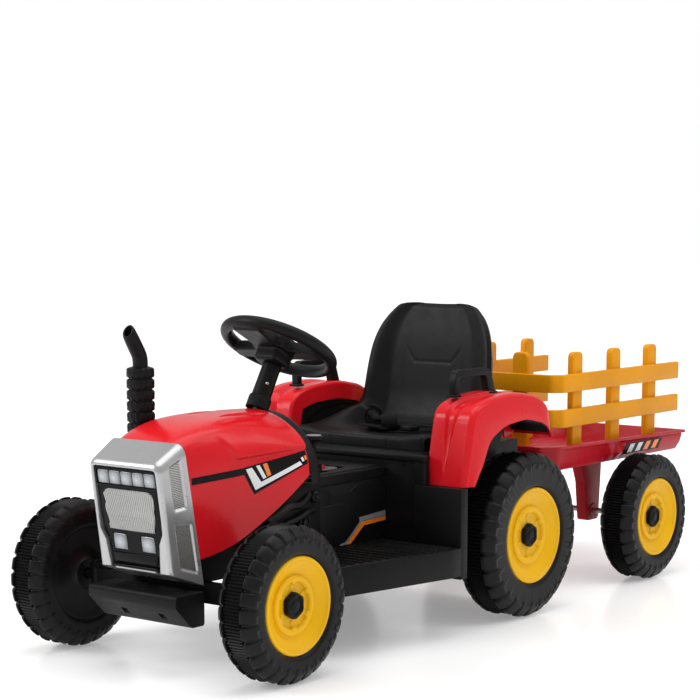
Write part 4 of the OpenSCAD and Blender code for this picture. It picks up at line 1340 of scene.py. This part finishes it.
def build_tunnel():
    top = TUNNEL_TOP
    lid = block("tunnel_lid", (-TUNNEL_W + 5, YF + 232, top - 3), (TUNNEL_W - 5, YR - 206, top + 3.2), 3)
    for node in ("switch_plate", "gear_lever"):
        low, high = corners(node)
        pad = 6 if node == "switch_plate" else 4
        deep = block("lid_opening", (low.x - pad, low.y - pad, top - 8),
                     (high.x + pad, high.y + pad, top + 9), 2)
        cut(lid, deep)
    rim_line = [(YF + 224, top - 16), (YR - 198, top - 16), (YR - 198, top + 1.5), (YF + 224, top + 1.5)]
    rim = both_sides(prism("tunnel_rim", fillet(rim_line, 5, 4, True), TUNNEL_W - 3, TUNNEL_W + 3, "x", 2.4))
    step_plate = [(YF + 224, top - 22), (YF + 262, top - 22), (YF + 266, top - 30), (YF + 312, top - 30),
                  (YF + 330, top - 20), (YR - 199, top - 20), (YR - 199, ZF + 28), (YF + 224, ZF + 28)]
    sides = both_sides(prism("tunnel_step", fillet(step_plate, 6, 4, True), TUNNEL_W - 2, TUNNEL_W + 2.4,
                             "x", 1.6))
    inner_plate = [(YF + 232, top - 46), (YF + 296, top - 46), (YF + 322, top - 60), (YF + 340, top - 78),
                   (YF + 300, ZF + 34), (YF + 232, ZF + 34)]
    insets = both_sides(prism("tunnel_inset", fillet(inner_plate, 8, 4, True), TUNNEL_W, TUNNEL_W + 3.6,
                              "x", 1.4))
    ledge = block("seat_ledge", (-161, YR - 201, SEAT_LOW.z - 13), (161, YR - 185, SEAT_LOW.z - 0.6), 4)
    cheeks = both_sides(block("post_cheek", (138, YR - 198.6, ZR + 92), (159, YR - 184, SEAT_LOW.z - 4), 3))
    trim = join(lid, rim, sides, insets, ledge, cheeks)
    trim.name = trim.data.name = "cab_trim"
    finished(trim, "tractor", finish("black"))


def build_tunnel_decals():
    def tunnel_side(y, z):
        return Vector((TUNNEL_W + 2.5, y, z))

    decal("tunnel_band", [
        [(YR - 271, 183), (YR - 200, 187), (YR - 200, 178), (YR - 262, 176)],
        [(YR - 271, 183), (YR - 262, 176), (YR - 300, ZF + 31), (YR - 318, ZF + 31)],
        [(YR - 327, 168), (YR - 300, 170), (YR - 304, 163), (YR - 329, 162)],
    ], tunnel_side, 0.2, "tractor", "grey_decal")
    decal("tunnel_accent", [
        [(YR - 262, 175.5), (YR - 200, 177.5), (YR - 200, 171), (YR - 256, 169)],
        [(YR - 262, 175.5), (YR - 256, 169), (YR - 290, ZF + 31), (YR - 299, ZF + 31)],
    ], tunnel_side, 0.2, "tractor", "orange_decal")


def build_mock_engine():
    """Two hoses, three pulleys and a row of cylinder fins between the hood and the boards."""
    deck = 97
    hose = spaced(fillet([(deck, YF + 100, 205), (deck + 7, YF + 118, 214), (deck + 8, YF + 140, 226),
                          (deck + 6, YF + 168, 222), (deck - 2, YF + 196, 236)], 16, 6), 40)
    second = spaced(fillet([(deck, YF + 112, 190), (deck + 8, YF + 132, 200), (deck + 8, YF + 160, 204),
                            (deck + 4, YF + 190, 212), (deck - 2, YF + 208, 210)], 16, 6), 40)
    parts = [sweep("intake_hose", hose, round_section(5.5), (0, 0, 1)),
             sweep("return_hose", second, round_section(4.5), (0, 0, 1))]
    for y, z, r in ((YF + 178, 196, 13), (YF + 150, 182, 10), (YF + 206, 232, 9)):
        profile = [(0.01, -6), (r, -6), (r, 2), (r - 2, 4), (r - 4, 4), (r - 4.6, 1.6), (r * 0.45, 1.6),
                   (r * 0.4, 5), (0.01, 5.4)]
        parts.append(lathe("pulley", profile, (deck + 2, y, z), (1, 0, 0), 40))
    for i in range(6):
        y = YF + 104 + i * 9
        parts.append(block("cylinder_fin", (deck - 3, y, 160), (deck + 3, y + 4, 172 + i * 2), 1))
    engine = both_sides(join(*parts))
    engine.name = engine.data.name = "mock_engine"
    finished(engine, "tractor", finish("grip"))


def build_pedal():
    pedal = softened("accelerator_pedal", "pedal_pad", 1.4, 2)
    finished(pedal, "pedal", finish("grip"), ["accelerator_pedal"], 30)


def build_lever():
    low, high = corners("gear_lever")
    x, y = (low.x + high.x) / 2, (low.y + high.y) / 2
    knob_z = high.z - 11

    def knob(r, h, angle):
        return r * (1 + 0.26 * cos(2 * angle)) / 1.26, h

    stem = softened("gear_lever", "lever_stem", 0.6, 1)
    clear_end = (high.x + 5, high.y + 5, high.z + 5)
    cut(stem, block("knob_clear", (low.x - 5, low.y - 5, knob_z + 1), clear_end, 0.5))
    grip = lathe("lever_knob", [(0.01, knob_z - 2), (11, knob_z - 2), (15.5, knob_z + 1), (16.9, knob_z + 4),
                                (16.6, knob_z + 7), (14.6, knob_z + 9), (0.01, knob_z + 9.4)], (x, y, 0),
                 (0, 0, 1),
                 64, knob)
    lever = join(stem, grip)
    lever.name = lever.data.name = "lever_grip"
    finished(lever, "lever", finish("grip"), ["gear_lever"])
    plate = lathe("lever_plate", [(0.01, knob_z + 8.8), (13.2, knob_z + 8.6), (12.6, knob_z + 10.2),
                                  (9, knob_z + 10.8), (0.01, knob_z + 11)], (x, y, 0), (0, 0, 1), 64, knob)
    finished(plate, "lever", finish("silver"))


def build_switch():
    switch = softened("switch_plate", "switch_surround", 1.2, 2)
    finished(switch, "tractor", finish("grey"), ["switch_plate"], 30)


# ---------- trailer ----------

def tub_outline(grow):
    """The tub's outline from its +X rear corner forwards and round, its front corners cut."""
    w, y0, y1, c = TUB_HIGH.x + grow, TUB_LOW.y - grow, TUB_HIGH.y + grow, 30
    return even([(w, y1), (w, y0 + c), (w - c * 0.8, y0)])


def build_tub():
    count = 400
    rim, foot = TUB_HIGH.z, TUB_LOW.z
    stations = [("out", -14, foot), ("out", -12.5, foot + 2), ("wall", -9, foot + 14),
                ("wall", -6.5, rim - 10),
                ("out", -5, rim - 6), ("out", -0.6, rim - 5.4), ("out", 0, rim - 4.4), ("out", 0, rim - 1),
                ("out", -0.8, rim), ("out", -6, rim), ("out", -8, rim - 1.2), ("in", -12, rim - 14),
                ("in", -16.5, foot + 7), ("in", -19, foot + 4)]
    outlines = []
    for _, grow, _ in stations:
        line = tub_outline(grow)
        outlines.append(spaced(fillet(line + line[:1], 7, 4), count))
    last = len(stations) - 1

    def place(u, v):
        i = round(v * last)
        kind, _, z = stations[i]
        x, y = outlines[i][round(u * count) % count]
        z += 8 * (1 - (y - TUB_LOW.y) / (TUB_HIGH.y - TUB_LOW.y)) * step(foot + 10, rim - 8, z)
        if kind == "wall":
            out = 1 if x > 0 else -1
            if abs(x) > TUB_HIGH.x - 30:
                near = abs(y - YT)
                bulge = 4.5 * step(72, 58, near) * (1 if z < rim - 12 else 0.35)
                rib = 6.0 * step(9, 5, abs(y - (YT - 46) - (z - foot) * 0.9))
                rear = 2.5 * step(YT - 44, YT - 38, y - (z - foot) * 0.9)
                x += out * (bulge + max(rib, rear))
        return Vector((x, y, z))

    tub = grid("tub_shell", count, last, place)
    close_skin(tub, True)
    load = corners("trailer_tub")[0].z + 6
    bed = block("load_bed", (-126, TUB_LOW.y + 76, foot + 2), (126, TUB_HIGH.y - 26, load - 0.6), 1)
    slats = [block("slat", (-118 + i * 29.5 + 3, TUB_LOW.y + 82, load - 1.5), (-118 + (i + 1) * 29.5 - 3,
                                                                             TUB_HIGH.y - 32, load), 0.6)
             for i in range(8)]
    sockets = []
    for y in post_places():
        for s in (-1, 1):
            sockets.append(block("socket", (s * 138.5 - 9.5, y - 17, foot + 4),
                                 (s * 138.5 + 6, y + 17, foot + 11), 1.5))
    whole = join(tub, bed, *slats, *sockets)
    whole.name = whole.data.name = "tub_shell"
    finished(whole, "trailer", finish("tub_red"), ["trailer_tub"], 30)


def build_tub_decals():
    foot = TUB_LOW.z

    def tub_side(y, z):
        return Vector((TUB_HIGH.x - 7 + 1.9 * (z - foot - 14) / 12 + 5.2, y, z))

    rows = []
    for i, colour in enumerate(("white_decal", "white_decal", "orange_decal", "orange_decal")):
        y = YT - 16 + i * 29
        slash = [(y + 18, foot + 27), (y + 34, foot + 27), (y + 24, foot + 12), (y + 8, foot + 12)]
        rows.append((colour, slash))
    decal("tub_band",
          [[(YT - 12, foot + 29), (YT + 118, foot + 29), (YT + 106, foot + 10), (YT - 26, foot + 10)]],
          tub_side, 0.2, "trailer", "black_decal")
    decal("tub_blocks", [q for c, q in rows if c == "white_decal"], tub_side, 0.5, "trailer", "white_decal")
    decal("tub_accents", [q for c, q in rows if c != "white_decal"], tub_side, 0.5, "trailer", "orange_decal")


def post_places():
    """Middles of the side posts, from the fence's own length."""
    first, pitch = corners("fence_panels")[0].y + 75, 130.5
    return [first + i * pitch for i in range(3)]


def build_fence():
    low, high = corners("fence_panels")
    thick, corner, step_in = 10.5, 17, 4
    rail_feet, rail_height = (286, 347), 31
    x, y0, y1 = high.x, low.y, high.y
    outer = fillet(even([(x, y1), (x, y0 + corner), (x - corner, y0)]), 6, 6)
    x, y0 = x - thick, y0 + thick
    inner = fillet(even([(x, y1), (x, y0 + corner - step_in), (x - corner + step_in, y0)]), 8, 6)
    parts = [prism("rail", outer + inner[::-1], z, z + rail_height, "z", 1.8) for z in rail_feet]
    upright = [(-16, low.z), (16, low.z), (16, high.z), (-16, high.z)]
    for y in post_places():
        shape = fillet([(y + a, z) for a, z in upright], 11, 6, True)
        post = prism("post", shape, x - 11, x + 2, "x", 3)
        parts += [post, mirrored(post, "post")]
    for middle_x in (-62, 62):
        shape = fillet([(middle_x + a, z) for a, z in upright], 11, 6, True)
        parts.append(prism("post", shape, y0 - 1, y0 + 10, "y", 3))
    fence = join(*parts)
    fence.name = fence.data.name = "fence"
    finished(fence, "trailer", finish("amber"), ["fence_panels"], 32)


def build_legs():
    high = corners("trailer_legs")[1]
    outline = [(YT - 66, high.z), (YT - 44, high.z - 16), (YT - 32, high.z - 44), (YT - 23, ZT - 14),
               (YT - 18, ZT - 17.5), (YT + 14, ZT - 17.5), (YT + 19, ZT - 13),
               (YT + 27, high.z)]
    leg = prism("leg", fillet(outline, 3, 3, True), high.x - 20, high.x, "x", 2)
    flange = block("leg_flange", (high.x - 24, YT - 70, high.z - 4), (high.x + 4, YT + 32, high.z + 0.2), 1)
    boss = lathe("leg_boss", [(5.2, -12), (12, -12), (13, -10.5), (13, 10.5), (12, 12), (5.2, 12)],
                 (high.x - 10, YT, ZT), (1, 0, 0), 48)
    legs = both_sides(join(leg, flange, boss))
    legs.name = legs.data.name = "leg_castings"
    finished(legs, "trailer", finish("tub_red"), ["trailer_legs"], 32)


def build_tow_bar():
    bar = softened("drawbar", "tow_bar", 1.6, 3)
    finished(bar, "trailer", finish("tub_red"), ["drawbar"], 32)


# ---------- wheels ----------

def tyre_stations(r, w, rim_r, lug):
    """Across the tyre from its outer bead to its inner bead: (radius, across, lug, rib, hook)."""
    half = w / 2
    root = r - lug
    shoulder = [(rim_r, -7.5, 0, 0, 0), (rim_r + 1.5, -4, 0, 0, 0), (rim_r + 5, -1.8, 0, 0, 0),
                (rim_r + 9, -1.3, 0, 0, 0), (r - 25, -1.3, 0, 0, 0), (r - 24, -1.3, 0, 0, 1),
                (r - 20, -1.3, 0, 0, 1),
                (r - 19, -1.3, 0.1, 0, 0.6), (r - 16, -2.0, 0.2, 0, 0.8), (root - 8.6, -4.2, 0.35, 0, 0.5),
                (root - 5.6, -6.8, 0.7, 0, 0.2), (root - 2.8, -10, 0.95, 0, 0), (root - 0.9, -13.5, 1, 0, 0),
                (root, -16, 1, 0, 0), (root, -w * 0.25, 1, 0, 0)]
    outer = [(a, half + b, c, d, e) for a, b, c, d, e in shoulder]
    inner = [(a, -half - b, c, d, e) for a, b, c, d, e in reversed(shoulder)]
    groove = [(root - 2.5, half - w * 0.262, 0, 0, 0), (root - 2.5, half - w * 0.282, 0, 0, 0)]
    band = [(root - 0.6, half - w * (0.295 + 0.41 * i / 7), 0, 1, 0) for i in range(8)]
    low = [(root - 2.5, -half + w * 0.282, 0, 0, 0), (root - 2.5, -half + w * 0.262, 0, 0, 0)]
    return outer + groove + band + low + inner


def make_tyre(name, r, w, rim_r):
    lugs, per = sizes().lug_count, sizes().ribs_per_lug
    lug = sizes().lug_height
    stations = tyre_stations(r, w, rim_r, lug)
    half = w / 2
    web = [(rim_r - 5, 8), (rim_r * 0.62, 16), (26, 11), (22, 6), (9, 6), (9, 12), (20, 15), (27, 15),
           (rim_r * 0.62, 20), (rim_r - 4, 14), (rim_r + 3, 18)]
    wall = [(a, b - half, 0, 0, 0) for a, b in web] + [(rim_r + 3, half - 11, 0, 0, 0)]
    ring = stations + wall
    last = len(ring)

    def place(u, v):
        radius, across, high, rib, hook = ring[round(v * last) % last]
        turn = u * lugs + 0.5
        p = turn % 1 - 0.5
        block_shape = step(0.46, 0.33, abs(p)) * (1 - 0.12 * (2 * p) ** 2)
        radius += high * lug * block_shape
        if rib:
            wave = abs(((turn * per) % 1) - 0.5) * 2
            radius += (lug - 1.4) * step(0.3, 0.7, wave) - 0.2
        if hook:
            reach = step(0.46, 0.40, abs(p)) if high else step(0.02, -0.06, p) * step(-0.42, -0.36, p)
            across += hook * 1.3 * reach * (1 if across > 0 else -1)
        angle = 2 * pi * u
        return Vector((across, radius * sin(angle), -radius * cos(angle)))

    return close_skin(grid(name, lugs * per * 4, last, place))


RIM_DEPTH = 18


def make_rim(name, w, rim_r):
    """A dished rim with a stepped ring and six tabs; its face lies RIM_DEPTH inside the tyre's side."""
    face = w / 2 - RIM_DEPTH
    outer = fillet([(rim_r + 0.4, w / 2 - 7), (rim_r - 1, w / 2 - 3), (rim_r - 5, w / 2 - 2.6),
                    (rim_r - 8, w / 2 - 6.5),
                    (rim_r * 0.66, face + 2.5), (rim_r * 0.62, face + 2.2), (rim_r * 0.605, face + 6.4),
                    (rim_r * 0.52, face + 7.6), (rim_r * 0.475, face + 5.4), (rim_r * 0.455, face + 0.6),
                    (24.5, face),
                    (5.2, face)], 2.4, 4)
    back = [(5.2, face - 5), (rim_r * 0.5, face - 4), (rim_r - 13, face - 2.5), (rim_r - 6, face - 3.5),
            (rim_r + 0.4, face - 3.5)]

    def wave(r, h, angle):
        if h > face - 0.5 and 24 < r < rim_r * 0.53:
            tab = step(0.16, 0.10, abs((angle + pi / 6) % (pi / 3) - pi / 6))
            r -= 2.6 * tab * step(rim_r * 0.53, rim_r * 0.47, r)
            h += 1.5 * tab * step(face + 7, face + 1, h)
        return r, h

    return lathe(name, [tuple(p) for p in outer] + back, (0, 0, 0), (1, 0, 0), 216, wave)


def make_cap(name, w):
    face = w / 2 - RIM_DEPTH + 0.15
    profile = [(5.4, face), (18.5, face), (19.4, face + 1.2), (19.4, face + 6), (18.6, face + 8.4),
               (16.8, face + 9.6),
               (14.8, face + 10), (13.4, face + 9.4), (12.6, face + 7.8), (10, face + 7.4), (8.6, face + 8.4),
               (5, face + 9.2), (0.01, face + 9.4), (0.01, face + 5), (5.4, face + 5)]

    def wave(r, h, angle):
        if r > 12:
            r -= 1.6 * (0.5 - 0.5 * cos(6 * angle)) * step(12, 17, r)
        return r, h

    return lathe(name, profile, (0, 0, 0), (1, 0, 0), 120, wave)


def build_wheels():
    for axle in ("front", "rear", "trailer"):
        low, high = corners(f"{axle}_tyre_left")
        centre, w = (low + high) / 2, high.x - low.x
        r = (high.z - low.z) / 2
        rim_low, rim_high = corners(f"{axle}_rim_left")
        rim_r = (rim_high.z - rim_low.z) / 2
        kit = [("tyre", make_tyre(f"{axle}_tread_left", r, w, rim_r), "tyre", "tyre", 40),
               ("rim", make_rim(f"{axle}_dish_left", w, rim_r), "yellow_plastic", "yellow", 35),
               ("cap", make_cap(f"{axle}_hub_left", w), "black_plastic", "black", 35)]
        for part, near, slot, coat, angle in kit:
            moved(near, centre)
            far = mirrored(near, near.name.replace("left", "right"))
            for side, piece in (("left", near), ("right", far)):
                finished(piece, f"{axle}_wheel_{side}", finish(coat), [f"{axle}_{part}_{side}"], angle)


# ---------- carried-over frame pieces ----------

KEPT = {"steel": ["motors", "rear_axle", "hitch", "steering_shaft", "trailer_axle"],
        "grey": ["battery", "control_box"], "signal": ["power_switch"],
        "black": ["gearboxes", "front_axle_beam", "tie_rod", "knuckle_left", "knuckle_right", "body_screws"]}


def dress_frame():
    for coat, nodes in KEPT.items():
        for node in nodes:
            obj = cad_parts[node]
            if not obj.material_slots:
                obj.data.materials.append(None)
            for slot_holder in obj.material_slots:
                slot_holder.material = finish(coat)


# ---------- stage ----------

LIGHTS = (
    ("overhead", (0.2, -0.2, 2.6), (0, 0, 0.1), (2.4, 2.0), 38),
    ("front_left", (-1.9, -2.6, 2.0), (0, -0.2, 0.2), (1.4, 1.6), 50),
    ("side_right", (2.0, 1.2, 2.5), (0.1, 0, 0.2), (1.4, 1.6), 18),
)
# FLOOR_GLOW is the strength of the floor's glow, which is dimmed near the train as painted shade
SKY_LIGHT, SKY_SEEN, FLOOR_GLOW = 0.62, 1.0, 0.55
CAMERA_PLACE = (1.9639, -2.6478, 0.6575)
CAMERA_DIP, CAMERA_TURN = 8.333, 38.11
CAMERA_LENS, CAMERA_SHIFT = 101.57, 0.2163


def area_light(name, place, target, size, power):
    """A rectangle of light; place, target and size are in metres and power is in watts."""
    light = bpy.data.lights.new(name, "AREA")
    light.shape, light.size, light.size_y = "RECTANGLE", *size
    light.energy = power
    obj = bpy.data.objects.new(name, light)
    bpy.context.scene.collection.objects.link(obj)
    obj.location = place
    obj.rotation_euler = (Vector(target) - Vector(place)).to_track_quat("-Z", "Y").to_euler()


def build_stage():
    clear_selection()
    bpy.ops.mesh.primitive_plane_add(size=40, location=(0, 0, 0))
    floor = bpy.context.object
    floor.name = "studio_floor"
    f = Finish("studio_floor")
    # The floor glows grey near the train and white away from it. This is painted shade round the train: the
    # floor near it stays darker while the far floor reads white.
    away = f.node("ShaderNodeVectorMath", {"operation": "LENGTH"}, {0: f.place()}, output=1).ramp(0.5, 1.8)
    f.set(Base_Color=f.blend((0.90, 0.90, 0.90), (0.93, 0.93, 0.93), f.noise(1.2)), Roughness=0.20,
          Specular_IOR_Level=0.5, Emission_Color=f.blend((0.48, 0.48, 0.48), (1, 1, 1), away),
          Emission_Strength=FLOOR_GLOW)
    floor.data.materials.append(f.material)

    world = bpy.data.worlds.new("studio")
    world.use_nodes = True
    world.node_tree.nodes["Background"].inputs["Color"].default_value = (1, 1, 1, 1)
    ray = world.node_tree.nodes.new("ShaderNodeLightPath")
    level = world.node_tree.nodes.new("ShaderNodeMapRange")
    level.inputs["To Min"].default_value, level.inputs["To Max"].default_value = SKY_LIGHT, SKY_SEEN
    world.node_tree.links.new(ray.outputs["Is Camera Ray"], level.inputs["Value"])
    world.node_tree.links.new(level.outputs["Result"], world.node_tree.nodes["Background"].inputs["Strength"])
    bpy.context.scene.world = world
    for settings in LIGHTS:
        area_light(*settings)
    bpy.context.scene.view_settings.view_transform = "Standard"

    camera = bpy.data.cameras.new("camera")
    camera.sensor_width, camera.lens, camera.shift_y = 36, CAMERA_LENS, CAMERA_SHIFT
    camera.clip_end = 100
    eye = bpy.data.objects.new("camera", camera)
    eye.location = CAMERA_PLACE
    eye.rotation_euler = (radians(90 - CAMERA_DIP), 0, radians(CAMERA_TURN))
    bpy.context.scene.collection.objects.link(eye)
    bpy.context.scene.camera = eye


# ---------- add-on ----------

class TRACTOR_OT_hood(bpy.types.Operator):
    """Builds the hood, its decals and the cowl band."""
    bl_idname = "tractor.hood"
    bl_label = "Hood and Cowl"

    def execute(self, context):
        build_hood()
        build_hood_decals()
        build_cowl()
        return {"FINISHED"}


class TRACTOR_OT_nose(bpy.types.Operator):
    """Builds the grille shell, its vents, mesh and lamps, and the bumper."""
    bl_idname = "tractor.nose"
    bl_label = "Nose and Bumper"

    def execute(self, context):
        build_nose_shell()
        build_vents()
        build_panel()
        build_mesh()
        build_lamps()
        build_bumper()
        return {"FINISHED"}


class TRACTOR_OT_exhaust(bpy.types.Operator):
    """Builds the exhaust bellows and pipe."""
    bl_idname = "tractor.exhaust"
    bl_label = "Exhaust"

    def execute(self, context):
        build_bellows()
        build_pipe()
        return {"FINISHED"}


class TRACTOR_OT_steering(bpy.types.Operator):
    """Builds the steering wheel, horn buttons and column."""
    bl_idname = "tractor.steering"
    bl_label = "Steering"

    def execute(self, context):
        build_steering_wheel()
        build_horns()
        build_column()
        return {"FINISHED"}


class TRACTOR_OT_fenders(bpy.types.Operator):
    """Builds the rear fenders, black sheets of painted shade inside their arches, and the grab handles."""
    bl_idname = "tractor.fenders"
    bl_label = "Fenders and Handles"

    def execute(self, context):
        build_fender()
        build_arch_shade()
        build_handles()
        return {"FINISHED"}


class TRACTOR_OT_seat(bpy.types.Operator):
    """Builds the seat shell, the lap belt and its buckle."""
    bl_idname = "tractor.seat"
    bl_label = "Seat and Belt"

    def execute(self, context):
        build_seat()
        build_belt()
        build_buckle()
        return {"FINISHED"}


class TRACTOR_OT_cab(bpy.types.Operator):
    """Builds the chassis shell, running boards, cab trim and mock engine."""
    bl_idname = "tractor.cab"
    bl_label = "Cab and Boards"

    def execute(self, context):
        build_shell()
        build_boards()
        build_tunnel()
        build_tunnel_decals()
        build_mock_engine()
        return {"FINISHED"}


class TRACTOR_OT_controls(bpy.types.Operator):
    """Builds the pedal, gear lever and switch surround."""
    bl_idname = "tractor.controls"
    bl_label = "Pedal and Levers"

    def execute(self, context):
        build_pedal()
        build_lever()
        build_switch()
        return {"FINISHED"}


class TRACTOR_OT_trailer(bpy.types.Operator):
    """Builds the trailer's tub, fence, legs and tow bar."""
    bl_idname = "tractor.trailer"
    bl_label = "Trailer"

    def execute(self, context):
        build_tub()
        build_tub_decals()
        build_fence()
        build_legs()
        build_tow_bar()
        return {"FINISHED"}


class TRACTOR_OT_wheels(bpy.types.Operator):
    """Builds six tyres, rims and hub caps."""
    bl_idname = "tractor.wheels"
    bl_label = "Wheels"

    def execute(self, context):
        build_wheels()
        return {"FINISHED"}


class TRACTOR_OT_frame(bpy.types.Operator):
    """Gives the carried-over frame pieces their finishes."""
    bl_idname = "tractor.frame"
    bl_label = "Frame Finishes"

    def execute(self, context):
        dress_frame()
        return {"FINISHED"}


class TRACTOR_OT_stage(bpy.types.Operator):
    """Adds the floor, lights and camera."""
    bl_idname = "tractor.stage"
    bl_label = "Stage"

    def execute(self, context):
        build_stage()
        return {"FINISHED"}


OPERATORS = (TRACTOR_OT_stage, TRACTOR_OT_hood, TRACTOR_OT_nose, TRACTOR_OT_exhaust, TRACTOR_OT_steering,
             TRACTOR_OT_fenders, TRACTOR_OT_seat, TRACTOR_OT_cab, TRACTOR_OT_controls, TRACTOR_OT_trailer,
             TRACTOR_OT_wheels, TRACTOR_OT_frame)


class TRACTOR_PT_build(bpy.types.Panel):
    """Lists the tractor's sizes, colours and building steps."""
    bl_label = "Tractor"
    bl_space_type = "VIEW_3D"
    bl_region_type = "UI"
    bl_category = "Tractor"

    def draw(self, context):
        layout = self.layout
        for group in (context.scene.tractor_sizes, context.scene.tractor_colours):
            for name in group.__annotations__:
                layout.prop(group, name)
        for operator in OPERATORS:
            layout.operator(operator.bl_idname)


CLASSES = (TractorSizes, TractorColours, *OPERATORS, TRACTOR_PT_build)


def register():
    for cls in CLASSES:
        bpy.utils.register_class(cls)
    bpy.types.Scene.tractor_sizes = PointerProperty(type=TractorSizes)
    bpy.types.Scene.tractor_colours = PointerProperty(type=TractorColours)


def unregister():
    del bpy.types.Scene.tractor_sizes, bpy.types.Scene.tractor_colours
    for cls in reversed(CLASSES):
        bpy.utils.unregister_class(cls)


def main():
    register()
    for operator in OPERATORS:
        getattr(bpy.ops.tractor, operator.bl_idname.split(".")[1])()


if __name__ == "__main__":
    main()
